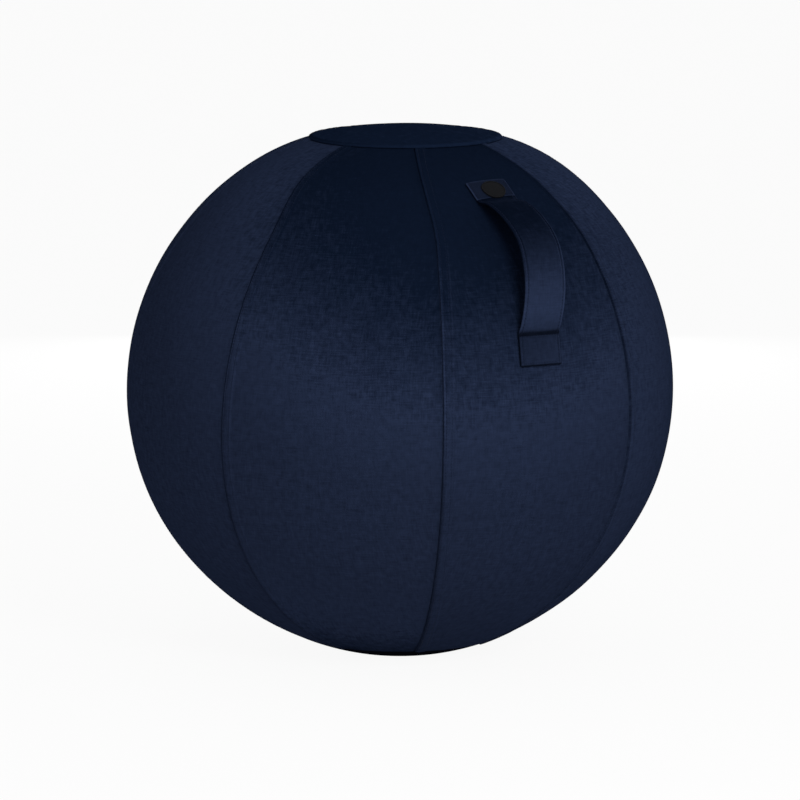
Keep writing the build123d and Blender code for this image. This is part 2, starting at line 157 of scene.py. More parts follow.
class StrapSizes(bpy.types.PropertyGroup):
    """Sizes of the carrying strap, its tabs and its badge."""

    width: length("Strap width", 0.054, "Width of the strap")
    thick: length("Strap thickness", 0.0034, "Thickness of the strap")
    upper_stitch: angle("Upper stitch", 48.8, "Latitude that the strap rises from")
    lower_stitch: angle("Lower stitch", 17.4, "Latitude that the strap comes back to")
    rise: length("Strap rise", 0.0465, "Rise of the strap above its chord")
    tab: length("Tab length", 0.036, "Length sewn down at each end")
    seat: length("Strap seat", 0.0002, "Gap between the tabs and the gore")
    upper_bend: length("Upper bend", 0.026, "Length of the soft bend at the upper stitch line")
    lower_bend: length("Lower bend", 0.007, "Length of the sharp bend at the lower stitch line")
    stitch_inset: length("Stitch inset", 0.0038, "Stitch lines, from the strap's edges")
    box_inset: length("Box inset", 0.0015, "Stitch lines across the tabs, from where the strap rises")
    stitch_sink: length("Stitch sink", 0.0006, "How far the stitches pull the strap in")
    upper_shift: length("Upper shift", 0.0012, "How far the upper end is sewn off the gore's middle")
    lower_shift: length("Lower shift", -0.0070, "How far the lower end is sewn off the gore's middle")
    upper_tilt: angle("Upper tilt", 5.0, "How far the upper tab is sewn on askew")
    sway: length("Sway", 0.0036, "How far the grip bows to the side between its two tabs")
    badge_drop: length("Badge drop", 0.0055, "How far the badge sits below the upper tab's middle")
    badge_shift: length("Badge shift", 0.0026, "How far the badge sits beside the gore's middle")
    grip: length("Grip", 0.050, "Half length of the strap's middle that swings as one")
    badge_radius: length("Badge radius", 0.0150, "Radius of the round patch")
    badge_thick: length("Badge thickness", 0.0016, "Thickness of the patch")
    badge_rim: length("Badge rim", 0.0014, "Width of the patch's raised rim")
    badge_lip: length("Badge lip", 0.0005, "Height of the patch's raised rim")


class StitchSizes(bpy.types.PropertyGroup):
    """Sizes of the sewing thread."""

    pitch: length("Stitch pitch", 0.0036, "Distance from one stitch to the next")
    stitch: length("Stitch length", 0.0028, "Visible length of one stitch")
    thread: length("Thread radius", 0.00033, "Radius of the thread")


class ZipSizes(bpy.types.PropertyGroup):
    """Where the curved zip lies along the base seam."""

    start: angle("Zip start", -22.5, "Heading of the closed end")
    span: angle("Zip span", 135.0, "Angle that the zip covers")
    window: length("Zip window", 0.0060, "Cloth cut back each side of the chain")
    tape_edge: length("Tape edge", 0.0034, "Tape edge that carries the teeth, from the chain's middle")
    tape_reach: length("Tape reach", 0.0150, "Far edge of the tape")
    tape_depth: length("Tape depth", 0.0021, "Depth of the tape under the cloth")
    tape_thick: length("Tape thickness", 0.0008, "Thickness of the tape")
    tape_tail: angle("Tape tail", 2.4, "Tape past each end of the zip")
    tape_join: length("Tape join", 0.0045, "Where the tapes start to close up, before each end of the zip")


class Finishes(bpy.types.PropertyGroup):
    """Colours and surface qualities."""

    pile_dark: colour("Pile dark", 13, 22, 39, "Velvet seen into the tips of its pile")
    pile_light: colour("Pile light", 33, 42, 64, "Velvet seen across its pile")
    pile_side: colour("Pile side", 29, 37, 57, "Velvet seen along the sides of its pile")
    pile_lean: angle("Pile lean", 54.0, "How far the pile leans from upright")
    pile_twist: per_gore(
        "Pile twist",
        np.radians([14.0, 25.0, 5.0, 12.0, 3.0, 10.0, 1.0, 13.0]).tolist(),
        "How far each gore's pile turns from the straight grain",
        unit="ROTATION",
    )
    # Folded edge lighter where it turns to the light: partly wear, partly painted light
    fold_wear_and_light: per_gore(
        "Fold tones", (0.6, -0.5, 0.2, 0.2, 0.2, 0.2, 0.2, 0.1), "How light each gore's folded edge is"
    )
    # Painted light: each gore lighter towards the cap
    crown_painted_light: per_gore(
        "Crown tones", (0.0, 0.3, 0.1, 0.1, 0.1, 0.1, 0.12, 0.0), "How light each gore is near the cap"
    )
    slub: share("Slub", 0.7, "Contrast of the woven slubs")
    ruffle: share("Ruffle", 0.26, "How unevenly the pile lies")
    # Strength of the painted tone: painted light and shade, and wear on the folded edges
    painted_tone_gain: share("Fold tone", 0.8, "How much folds lighten and seams darken")
    # Painted shade and light: the strap's velvet, the same cloth as the cover, darker into its pile and
    # lighter along its sides
    strap_dark: colour("Strap dark", 9, 16, 30, "Strap velvet seen into the tips of its pile")
    strap_side: colour("Strap side", 37, 47, 71, "Strap velvet seen along the sides of its pile")
    strap_rub: share("Strap rub", 0.5, "Share of the slubs and the ruffle left on the strap")
    thread_tint: colour("Thread", 22, 30, 50, "Sewing thread")
    base_tint: colour("Base cloth", 10, 13, 21, "Non-slip cloth of the base")
    badge_tint: colour("Badge", 13, 14, 17, "Moulded patch on the strap")
    tape_tint: colour("Zip tape", 17, 21, 34, "Woven tape of the zip")
    teeth_tint: colour("Zip teeth", 30, 31, 35, "Moulded teeth and stops")
    metal_tint: colour("Zip metal", 40, 41, 44, "Black lacquered slider and pull")
    ball_tint: colour("Ball skin", 92, 97, 106, "Skin of the air-filled ball")
    plug_tint: colour("Air plug", 205, 206, 203, "Plug of the air-filled ball")
    floor_tint: colour("Floor", 246, 246, 246, "Studio floor and backdrop")


class StageSettings(bpy.types.PropertyGroup):
    """Camera and lamps."""

    azimuth: angle("Camera azimuth", -31.2, "Camera heading round the ball, from the strap's side")
    elevation: angle("Camera elevation", 7.75, "Camera height angle")
    distance: length("Camera distance", 6.5, "From the camera to the ball's middle")
    lens: share("Lens", 245.4, "Focal length in millimetres")
    aim: length("Aim", 0.2986, "Height that the camera looks at")
    key: share("Key lamp", 35.0, "Power of the soft light to the right of the camera, in watts")
    right: share("Right lamp", 2.0, "Power of the soft light on the right, in watts")
    left: share("Left lamp", 3.5, "Power of the soft light on the left, in watts")
    back: share("Back lamp", 14.0, "Power of the soft light behind the ball, in watts")
    floor_fill: share("Floor fill", 1.0, "Power of the light that the bright floor throws up, in watts")
    ambient: share("Ambient", 0.48, "Strength of the surrounding light")


class SittingBall(bpy.types.PropertyGroup):
    """All settings of the sitting ball."""

    outline: PointerProperty(type=OutlineSizes)
    cover: PointerProperty(type=CoverSizes)
    strap: PointerProperty(type=StrapSizes)
    stitch: PointerProperty(type=StitchSizes)
    zip: PointerProperty(type=ZipSizes)
    finish: PointerProperty(type=Finishes)
    stage: PointerProperty(type=StageSettings)


def settings():
    """The scene's sitting ball settings and its outline."""
    held = bpy.context.scene.sitting_ball
    return held, Outline(held.outline)


# Shapes that the surfaces share


class Outline:
    """The ball's outline: a chain of tangent arcs above and below the equator.

    A point is named by its turn, the angle of the outward normal below level:
    point = arc centre + (radius + lift) * (cos turn outwards, sin turn downwards).
    """

    def __init__(self, sizes):
        self.ball_radius = sizes.ball_radius
        self.under_radius = sizes.under_radius
        self.above = self.chain(sizes, ("crown",))
        self.below = self.chain(sizes, ("belly", "flank", "under", "foot"))
        self.centre = self.below[-1, 2] + self.below[-1, 3]

    @staticmethod
    def chain(sizes, arcs):
        """Rows of start angle, arc centre outwards, arc centre along the axis, radius."""
        rows = [(0.0, 0.0, 0.0, sizes.ball_radius)]
        for arc in arcs:
            start, radius = getattr(sizes, f"{arc}_turn"), getattr(sizes, f"{arc}_radius")
            _, out, along, last = rows[-1]
            step = last - radius
            rows.append((start, out + step * np.cos(start), along + step * np.sin(start), radius))
        return np.array(rows)

    def point(self, turn, lift=0.0):
        """Distance from the axis and height of the outline at these turns, lifted off it by lift."""
        turn = np.asarray(turn, float)
        size = np.abs(turn)
        low = self.below[np.searchsorted(self.below[:, 0], size, side="right") - 1]
        high = self.above[np.searchsorted(self.above[:, 0], size, side="right") - 1]
        arc = np.where((turn > 0)[..., None], low, high)
        reach = arc[..., 3] + lift
        out = arc[..., 1] + reach * np.cos(turn)
        along = arc[..., 2] + reach * np.sin(size)
        return out, self.centre - np.sign(turn) * along

    def turn_at(self, out, below):
        """Turn at which the outline is this far from the axis."""
        for start, centre, _, radius in reversed(self.below if below else self.above):
            part = (out - centre) / radius
            if abs(part) <= 1 and np.arccos(part) >= start:
                return np.arccos(part) * (1 if below else -1)
        raise ValueError("the outline does not come that near the axis")

    def walk(self, first, last, count):
        """Turns evenly spaced along the outline, and their distances along it."""
        fine = np.linspace(first, last, WALK_STEPS)
        out, height = self.point(fine)
        gone = path_length(np.stack([out, height], axis=-1))
        along = np.linspace(0.0, gone[-1], count)
        return np.interp(along, gone, fine), along


def path_length(line):
    """Distance along a line of points, from its first point to each."""
    return np.concatenate([[0.0], np.cumsum(np.linalg.norm(np.diff(line, axis=0), axis=1))])


def smooth_step(value):
    """0 below 0, 1 above 1, and 3 v^2 - 2 v^3 between."""
    value = np.clip(value, 0.0, 1.0)
    return value * value * (3 - 2 * value)


def bell(distance, width):
    """A bell curve: exp(-(distance / width)^2)."""
    return np.exp(-((distance / width) ** 2))


def unit(vectors):
    """Vectors scaled to length 1."""
    return vectors / np.linalg.norm(vectors, axis=-1, keepdims=True)


def fold_down(distance, radius):
    """Depth of a rounded edge: a quarter circle of that radius, ending upright at distance 0."""
    part = 1 - np.clip(distance / radius, 0.0, 1.0)
    return -radius * (1 - np.sqrt(1 - part * part))


def ripple(along, wavelengths, seed):
    """Sum of sines of the given wavelengths with fixed random phases, between -1 and 1."""
    rng = np.random.default_rng(seed)
    waves = [np.sin(FULL_TURN * along / size + rng.uniform(0, FULL_TURN)) for size in wavelengths]
    return sum(waves) / len(waves)


def around_axis(count):
    """Angles evenly spaced round a full turn."""
    return np.linspace(0.0, FULL_TURN, count, endpoint=False)


def ring_points(out, height, heading):
    """Points at this distance from the axis, height and heading."""
    return np.stack([out * np.cos(heading), out * np.sin(heading), height + 0 * heading], axis=-1)


def grid_faces(rows, columns, wrap):
    """Corner numbers of a grid's quads, wound so that rows x columns points outwards."""
    across = np.arange(columns if wrap else columns - 1)
    row, column = np.meshgrid(np.arange(rows - 1), across, indexing="ij")
    corner = row * columns + column
    after = row * columns + (column + 1) % columns
    return np.stack([corner, after, after + columns, corner + columns], axis=-1).reshape(-1, 4)


def tube_faces(rows, columns, first=True, last=True, flip=False):
    """Faces of a grid that closes round its columns, with a face over its first and its last row."""
    faces = grid_faces(rows, columns, True)[:, ::-1].tolist()
    if first:
        faces.append(list(range(columns)))
    if last:
        faces.append(list(range(columns * (rows - 1), columns * rows))[::-1])
    return [face[::-1] for face in faces] if flip else faces


def seam_headings(cover):
    """Headings of the first seam of every gore."""
    return FRONT + FULL_TURN / cover.gores * (np.arange(cover.gores) - 0.5)


def rim_height(outline, cover):
    """Height of the cap's rim, where its dome starts."""
    _, seat = outline.point(outline.turn_at(cover.cap_radius, False))
    return seat + cover.cap_proud


def in_zip(heading, zip_sizes, edge=ZIP_EDGE):
    """1 where the heading lies in the zip's window and 0 outside, changing over the edge angle."""
    past = (np.asarray(heading) - zip_sizes.start) % FULL_TURN
    inside = np.minimum(past, zip_sizes.span - past)
    return smooth_step(inside / edge + 0.5)


# How the cover sits on the soft ball, in ball radii over the equator
WRING_FROM, WRING_OVER = 0.6, 0.32
NOD_FROM, NOD_OVER = 0.78, 0.14


def seam_drift(cover, points, level):
    """Turn about the axis of the cloth near seams that run askew: a bell over heading, growing downwards."""
    heading = np.arctan2(points[..., 1], points[..., 0])
    apart = (heading[..., None] - seam_headings(cover) + np.pi) % FULL_TURN - np.pi
    bells = bell(apart, cover.askew_spread)
    return bells @ np.array(cover.askew) * np.clip(cover.askew_start - level, 0.0, None)


def settled(points, whole=False):
    """Points of the cover as it sits on the soft ball; a whole piece moves unbent, with its middle.

    They shift sideways by the settle times the square of their height over the equator. Towards the
    cap they turn about the axis by the wring, and the cap nods: one side sinks and the other rises.
    Below that they turn with the seams that run askew.
    """
    held, outline = settings()
    cover = held.cover
    place = points.reshape(-1, 3).mean(axis=0) if whole else points
    level = (place[..., 2] - outline.centre) / outline.ball_radius
    rise = np.clip(level, 0.0, None)
    turn = cover.wring * smooth_step((rise - WRING_FROM) / WRING_OVER) + seam_drift(cover, place, level)
    x = points[..., 0] * np.cos(turn) - points[..., 1] * np.sin(turn)
    y = points[..., 0] * np.sin(turn) + points[..., 1] * np.cos(turn)
    way = np.array([np.cos(cover.settle_heading), np.sin(cover.settle_heading)])
    dip = np.tan(cover.nod) * (x * way[1] - y * way[0]) * smooth_step((rise - NOD_FROM) / NOD_OVER)
    shift = cover.settle * rise**2
    return np.stack([x + shift * way[0], y + shift * way[1], points[..., 2] - dip], axis=-1)


def make_piece(name, points, faces, cloth=None, lean=None, tone=None, sharp=None, whole=False):
    """Mesh object from points and faces, with the cloth's own coordinates, tone and the lean of its pile."""
    mesh = bpy.data.meshes.new(name)
    mesh.from_pydata(settled(points, whole).reshape(-1, 3).tolist(), [], faces)
    mesh.validate()
    mesh.polygons.foreach_set("use_smooth", np.ones(len(mesh.polygons), bool))

    def keep(label, vectors):
        """Stores a vector for each point."""
        layer = mesh.attributes.new(label, "FLOAT_VECTOR", "POINT")
        layer.data.foreach_set("vector", vectors.astype(np.float32).ravel())

    if cloth is not None:
        flat = cloth.reshape(-1, 2)
        keep("cloth", np.column_stack([flat, np.zeros(len(flat)) if tone is None else tone.ravel()]))
    if lean is not None:
        keep("lean", lean.reshape(-1, 3))
    if sharp is not None:
        mesh.set_sharp_from_angle(angle=sharp)
    mesh.update()
    piece = bpy.data.objects.new(name, mesh)
    bpy.context.scene.collection.objects.link(piece)
    return piece


def thicken(piece, thickness):
    """Gives a sheet its thickness, inwards."""
    wall = piece.modifiers.new("Thickness", "SOLIDIFY")
    wall.thickness = thickness
    wall.offset = -1.0
    wall.use_even_offset = False


# Relief of the gores
SHOULDER = 0.0035  # rounded shoulder of the pressed seam allowance
NEAR_DIP, FAR_DIP = 0.0007, 0.0008  # half widths of the two topstitch dips
SOFT_HEM = 0.8  # share of the lower edge's roll where it is sewn to the base
PUCKER_WAVES = (0.0093, 0.0127, 0.0171, 0.031)
PUCKER_SLANT = 0.15  # how far the puckers slant for each length from the seam
PUCKER_FADE, PLAIN_FADE = 0.016, 0.012  # reach of the puckers from the two seams
PLAIN_PUCKER = 0.6  # share of the puckers beside the seam without allowance
PUCKER_CLEAR, SLACK_CLEAR = 0.003, 0.03  # cloth at the edges that stays even
SLOW_WAVES, SLOW_SLANT, SLOW_SEED = (0.11, 0.17, 0.26), 0.6, 20
CROSS_WAVES, CROSS_SLANT, CROSS_SEED = (0.07, 0.12, 0.19), 0.4, 40
CREASED_GORE = 6
CREASE_ACROSS, CREASE_HALF = 0.062, 0.0028  # place and half width of the drawn crease across the gore
CREASE_ALONG, CREASE_LENGTH = 0.475, 0.042  # place and half length of the crease down the gore
CREASE_SLANT, CREASE_PIVOT = 0.05, 0.47
EDGE_SINK = 0.96  # share of the seam depth that the lower edge turns down by

# Columns and rows of the gores
ROLL_STEPS, WELT_STEPS, PLAIN_STEPS, EVEN_STEPS = 7, 20, 6, 46
WELT_CLEAR = 0.0045  # fine columns past the welt
PLAIN_BAND = 0.009  # fine columns beside the edge without allowance
GORE_ROWS = 290

# Tones of the gores: painted light and shade, and wear on the folded edges
LOW_FOLD = -0.4  # folded edges below the equator, where the light doesn't reach
FOLD_LIT, FOLD_LIT_OVER = 0.35, 0.5  # turns over which the folded edges come into the light
FOLD_AT, FOLD_HALF = 0.0015, 0.0011
SEAM_SHADE, SEAM_FADE = 0.28, 0.004  # shade beside the seam without allowance
CROWN_FROM, CROWN_OVER = 0.6, 0.35


def gore_lift(cover, first, last, low, along, seed, hem):
    """Height of a gore's surface over the ball's outline.

    first, last and low are the distances from the gore's two seams and its lower edge. The edges
    roll down by quarter circles. On the first side the seam allowance lifts the cloth by a band
    with rounded shoulders, in which two topstitch lines sink as narrow bells. Puckers run along
    the lines and fade away from them. A slow unevenness covers the whole gore.
    """
    band = smooth_step(first / cover.fold) * smooth_step((cover.welt_width + SHOULDER - first) / SHOULDER)
    dips = bell(first - cover.near_line, NEAR_DIP) + bell(first - cover.far_line, FAR_DIP)
    lift = cover.welt_rise * band - cover.stitch_sink * dips
    lift = lift + fold_down(first, cover.fold) + fold_down(last, cover.plain_fold)
    lift = lift + fold_down(low, cover.plain_fold) * (1 if hem else SOFT_HEM)
    beside = np.minimum(first, last)
    near = np.exp(-first / PUCKER_FADE) + PLAIN_PUCKER * np.exp(-last / PLAIN_FADE)
    gathers = ripple(along + PUCKER_SLANT * first, PUCKER_WAVES, seed)
    lift = lift + cover.pucker * gathers * near * smooth_step(beside / PUCKER_CLEAR)
    slow = ripple(along + SLOW_SLANT * first, SLOW_WAVES, seed + SLOW_SEED)
    cross = ripple(first - CROSS_SLANT * along, CROSS_WAVES, seed + CROSS_SEED)
    inside = smooth_step(beside / SLACK_CLEAR) * smooth_step(along / SLACK_CLEAR)
    inside = inside * smooth_step(low / SLACK_CLEAR)
    return lift + cover.slack * inside * (slow + cross) / 2


def gore_columns(cover, width):
    """Distances from the first seam: close together over the welt and the folded edges, even between."""
    roll = 1 - np.cos(np.linspace(0.0, np.pi / 2, ROLL_STEPS))
    welt = np.linspace(cover.fold, cover.welt_width + WELT_CLEAR, WELT_STEPS)[1:]
    plain = np.linspace(cover.plain_fold, PLAIN_BAND, PLAIN_STEPS)[1:]
    left = np.concatenate([cover.fold * roll, welt])
    right = np.concatenate([cover.plain_fold * roll, plain])
    even = np.linspace(0.0, 1.0, EVEN_STEPS)[1:-1]
    inner = left[-1] + even * (width[:, None] - left[-1] - right[-1])
    rows = np.ones((len(width), 1))
    return np.concatenate([left * rows, inner, width[:, None] - right[::-1] * rows], axis=1)


def gore_surface(outline, held, number):
    """Gore between two seams: P(a, s) = outline(s) + lift(a, s) along the normal, a across, s down the ball.

    Returns the points, the cloth's flat coordinates, the direction in which the pile leans, which
    is down the cloth's straight grain: the circle of the ball parallel to the gore's middle, and a
    tone: the folded edge lighter, partly wear and partly painted light, painted shade in and beside the
    seams, and painted light near the cap.
    """
    cover, finish = held.cover, held.finish
    half = np.pi / cover.gores
    heading = FRONT + 2 * half * number
    zipped = float(in_zip(heading, held.zip)) > 0.5
    top = outline.turn_at(cover.cap_radius - cover.cap_lap, False)
    seam = outline.turn_at(cover.base_radius, True)
    cut = held.zip.window if zipped else cover.base_gap
    turns, along = outline.walk(top, seam - cut / outline.under_radius, GORE_ROWS)
    out, _ = outline.point(turns)
    turns, along, out = turns[:, None], along[:, None], out[:, None]
    width = 2 * half * out - cover.seam_gap
    first = gore_columns(cover, width[:, 0])
    low = along[-1] - along + 0 * first
    lift = gore_lift(cover, first, width - first, low, along, number, zipped)
    if number == CREASED_GORE:
        place = bell(first - CREASE_ACROSS - CREASE_SLANT * (along - CREASE_PIVOT), CREASE_HALF)
        lift = lift - cover.crease * place * bell(along - CREASE_ALONG, CREASE_LENGTH)
    lift[-1] = -EDGE_SINK * cover.seam_depth
    lift = np.pad(lift, ((0, 0), (1, 1)), constant_values=-cover.seam_depth)
    first = np.pad(first, ((0, 0), (1, 1)), mode="edge")
    # Painted tone: the folded edge lighter where it turns to the light (partly wear, partly painted light)
    # and in painted shade below the equator; painted shade beside the plain seam
    lit = smooth_step((FOLD_LIT - turns) / FOLD_LIT_OVER)
    light = LOW_FOLD + (finish.fold_wear_and_light[number] - LOW_FOLD) * lit
    tone = light * bell(first - FOLD_AT, FOLD_HALF) - SEAM_SHADE * np.exp((first - width) / SEAM_FADE)
    # Painted light near the cap
    tone = tone + finish.crown_painted_light[number] * smooth_step((-turns - CROWN_FROM) / CROWN_OVER)
    tone[:, [0, -1]] = SEAM_PAINTED_SHADE
    bearing = heading - half + (first + cover.seam_gap / 2) / out
    turns = turns + 0 * bearing
    reach, height = outline.point(turns, lift)
    normal = ring_points(np.cos(turns), -np.sin(turns), bearing)
    lean = unit(np.cross(normal, [-np.sin(heading), np.cos(heading), 0.0]))
    lean = lean * np.where(lean[..., 2:] > 0, -1.0, 1.0)
    twist = finish.pile_twist[number]
    lean = lean * np.cos(twist) - np.cross(normal, lean) * np.sin(twist)
    flat = np.stack([(bearing - heading) * out, along + 0 * bearing], axis=-1)
    return ring_points(reach, height, bearing), flat, lean, tone


# Cap
CAP_COLUMNS, CAP_RINGS, CAP_ROLL = 288, 60, 9
CAP_SPACING = 0.85  # rings lie closer together towards the rim
CAP_TUCK = np.array([0.0002, 0.0035])  # how far the last two rings lie inside the rim
CAP_TUCK_DROP = np.array([0.0, 0.0008])  # how far they lie below the gores' edge
CAP_GATHER_RADIUS, CAP_GATHER_WAVES, CAP_GATHER_SEED = 0.1146, (0.0103, 0.0144, 0.0225, 0.04), 71
CAP_GATHER_AT, CAP_GATHER_HALF, CAP_GATHER = 0.109, 0.006, 0.00035
CAP_SLOW_HEADING, CAP_SLOW_WAVES, CAP_SLOW_SEED = 0.7, (0.05, 0.083), 72
CAP_SLOW_REACH, CAP_SLOW = 0.09, 0.0003
CAP_RIDGE = 0.0007  # the sewn rim's ridge
CAP_LEAN = np.array([-0.35, -0.94, 0.0])
# Painted light over the whole cap; a painted highlight along the rounded edge on one side and painted shade
# on the other
CAP_PAINTED_LIGHT, CAP_EDGE_HALF, CAP_EDGE_LIGHT, CAP_EDGE_HEADING, CAP_EDGE_SHADE = 0.48, 0.0022, 0.9, 0.9, 0.2


def cap_surface(outline, cover):
    """Cap: a shallow dome turned about the axis, its edge rolled over and down to the gores, with gathers.

    height(r) = top - rise (r / top radius)^2 inside, then a quarter ellipse to the rim.
    """
    edge = cover.cap_radius - cover.cap_flat
    inside = np.linspace(0.0, 1.0, CAP_RINGS)[1:] ** CAP_SPACING * cover.cap_flat
    roll = np.linspace(0.0, np.pi / 2, CAP_ROLL)[1:]
    rolled = cover.cap_flat + edge * np.sin(roll)
    out = np.concatenate([[POLE], inside, rolled, cover.cap_radius - CAP_TUCK])[:, None]
    tucked = cover.cap_proud + CAP_TUCK_DROP
    drop = np.concatenate([np.zeros(CAP_RINGS), edge * (1 - np.cos(roll)), tucked])[:, None]
    dome = cover.cap_rise * (1 - (np.minimum(out, cover.cap_flat) / cover.cap_flat) ** 2)
    heading = around_axis(CAP_COLUMNS)[None, :]
    gathers = ripple(heading * CAP_GATHER_RADIUS, CAP_GATHER_WAVES, CAP_GATHER_SEED)
    slow = ripple(out * np.cos(heading - CAP_SLOW_HEADING), CAP_SLOW_WAVES, CAP_SLOW_SEED)
    near = bell(out - CAP_GATHER_AT, CAP_GATHER_HALF)
    height = rim_height(outline, cover) + dome - drop + near * (CAP_GATHER * gathers + CAP_RIDGE)
    height = height + CAP_SLOW * slow * np.exp(-((out / CAP_SLOW_REACH) ** 6))
    points = ring_points(out + 0 * heading, height, heading)
    # Painted tone: light over the whole cap, a painted highlight along the rounded edge on one side and
    # painted shade on the other, and painted shade on the tucked rings
    ridge = bell(out - cover.cap_flat, CAP_EDGE_HALF)
    tone = CAP_PAINTED_LIGHT + ridge * (CAP_EDGE_LIGHT * np.cos(heading + CAP_EDGE_HEADING) - CAP_EDGE_SHADE)
    tone[-2:] = SEAM_PAINTED_SHADE
    return points, points[..., :2], np.broadcast_to(CAP_LEAN, points.shape), tone


# Base cloth, the ball's skin and the zip's tapes
BASE_COLUMNS, BASE_ARC, BASE_FLOOR = 480, 56, 16
SKIN_COLUMNS, SKIN_ARC, SKIN_CROWN, SKIN_FOOT = 240, 150, 14, 8
SKIN_DEPTH = 0.0024  # the skin under the outside of the cloth
DENT_DEPTH, DENT_MARGIN, DENT_EDGE, DENT_TURN = 0.0044, 0.004, 0.003, 0.06  # room under the zip
TAPE_COLUMNS, TAPE_SIDES = 440, 28
TAPE_SQUARE, TAPE_ROUND = 0.35, 0.6  # powers that flatten the section's faces and round its edges
TAPE_MEET, TAPE_SWING = 0.97, 0.0025  # share of its edge that a tape gives up, and over what length


def base_surface(outline, cover, zip_sizes):
    """Base: the outline turned about the axis from the base seam to the floor and in to the middle.

    It is cut back along the zip's window.
    """
    heading = around_axis(BASE_COLUMNS)
    seam = outline.turn_at(cover.base_radius, True)
    window = zip_sizes.window / outline.under_radius
    gap = cover.base_gap / outline.under_radius
    start = seam + gap + (window - gap) * in_zip(heading, zip_sizes)
    arc, _ = outline.walk(seam, np.pi / 2, BASE_ARC)
    turn = start + (arc[:, None] - seam) / (np.pi / 2 - seam) * (np.pi / 2 - start)
    out, _ = outline.point(turn)
    out, height = outline.point(turn, fold_down(out[0] - out, cover.plain_fold))
    wall_out, wall_height = outline.point(turn[:1], np.full((1, len(heading)), -cover.seam_depth))
    floor_out = np.linspace(1.0, 0.0, BASE_FLOOR)[1:, None] * out[-1:]
    floor_out[-1] = POLE
    out = np.concatenate([wall_out, out, floor_out])
    height = np.concatenate([wall_height, height, np.zeros_like(floor_out)])
    points = ring_points(out, height, heading + 0 * out)
    return points, points[..., :2]


def ball_surface(outline, cover, zip_sizes):
    """Skin of the ball: the outline sunk under the cloth, turned about the axis and dented at the zip.

    The crown is a shallow dome under the cap: height = shoulder + rise (1 - (r / shoulder radius)^2).
    """
    shoulder = outline.turn_at(cover.cap_radius - cover.cap_lap, False)
    seam = outline.turn_at(cover.base_radius, True)
    turn, _ = outline.walk(shoulder, np.pi / 2, SKIN_ARC)
    heading = around_axis(SKIN_COLUMNS)
    beside = np.abs(turn - seam)[:, None] * outline.under_radius
    dent = smooth_step((zip_sizes.tape_reach + DENT_MARGIN - beside) / DENT_EDGE)
    dent = dent * in_zip(heading, zip_sizes, DENT_TURN)
    out, height = outline.point(turn[:, None] + 0 * heading, -SKIN_DEPTH - DENT_DEPTH * dent)
    inner = np.linspace(0.0, 1.0, SKIN_CROWN)[:-1, None] * out[:1]
    inner[0] = POLE
    top = rim_height(outline, cover) + cover.cap_rise - SKIN_DEPTH - height[:1]
    crown = height[:1] + top * (1 - (inner / out[:1]) ** 2)
    foot = np.linspace(1.0, 0.0, SKIN_FOOT)[1:, None] * out[-1:]
    foot[-1] = POLE
    height = np.concatenate([crown, height, height[-1:] + 0 * foot])
    out = np.concatenate([inner, out, foot])
    return ring_points(out, height, heading + 0 * out)


def tape_surface(outline, cover, zip_sizes, way):
    """Zip tape: a closed strip on the ball's underside, a rounded flat section carried along the base seam.

    Past the end stops its edge swings in to the chain's middle, where the two tapes meet.
    """
    seam = outline.turn_at(cover.base_radius, True)
    start, finish = zip_sizes.start, zip_sizes.start + zip_sizes.span
    heading = np.linspace(start - zip_sizes.tape_tail, finish + zip_sizes.tape_tail, TAPE_COLUMNS)[:, None]
    past = cover.base_radius * np.maximum(start - heading, heading - finish)
    swing = smooth_step((past + zip_sizes.tape_join) / TAPE_SWING)
    edge = zip_sizes.tape_edge * (1 - TAPE_MEET * swing)
    around = around_axis(TAPE_SIDES)
    across = np.sign(np.cos(around)) * np.abs(np.cos(around)) ** TAPE_SQUARE
    thick = np.sign(np.sin(around)) * np.abs(np.sin(around)) ** TAPE_ROUND * zip_sizes.tape_thick / 2
    wide = (edge + zip_sizes.tape_reach) / 2 + across * (zip_sizes.tape_reach - edge) / 2
    depth = -zip_sizes.tape_depth - zip_sizes.tape_thick / 2 + thick + 0 * wide
    out, height = outline.point(seam - way * wide / outline.under_radius, depth)
    flat = np.stack([wide, cover.base_radius * heading + 0 * wide], axis=-1)
    return ring_points(out, height, heading + 0 * out), flat


# Path and section of the strap
BEND_STEPS, ARCH_STEPS = 60, 200
STRAP_STEP = 0.0026  # two rows of the strap's surface
FACE_COLUMNS = 73  # columns over one face of the strap
FLAT_POWER = 14  # how squarely the section's faces meet its edges
LINE_HALF = 0.0009  # half width of a sunk stitch line
BOX_CLEAR, BOX_EDGE = 0.0005, 0.001  # where the stitch lines across a tab end
BOX_FADE = 0.004  # how fast they fade along the arch
END_ROUND, END_LEAST = 0.0017, 0.02  # rounding of the strap's two ends
PUFF = 0.00025  # how far the padding swells the middle
EDGE_WAVE, EDGE_WAVES, EDGE_SEED = 0.00016, (0.0088, 0.0131, 0.019), 5
EDGE_WAVE_AT, EDGE_WAVE_HALF = 0.003, 0.004
SINK_FROM, PUFF_FROM = 0.0004, 0.0008  # half thickness from which stitches sink and padding swells
LEAST_THICK = 0.00002
CORNER_INSET, CORNER_LENGTH = 0.0022, 0.002  # rounded corners of the two ends
UPPER_SAG, LOWER_SAG = 0.020, 0.012  # how far along the arch it still wraps round the ball
UNDER_OFFSET = 0.06  # sets the underside's cloth apart from the upper side's

# Tones of the strap: painted highlights on its ridges, painted shade on its side walls, creases and tabs
RIDGE_AT, RIDGE_HALF, RIDGE_LIGHT = 0.955, 0.025, 0.22  # lit ridge, in half widths from the middle
# Painted shade on the strap's side walls
SIDE_AT, SIDE_OVER, SIDE_SHADE = 0.985, 0.01, 0.7
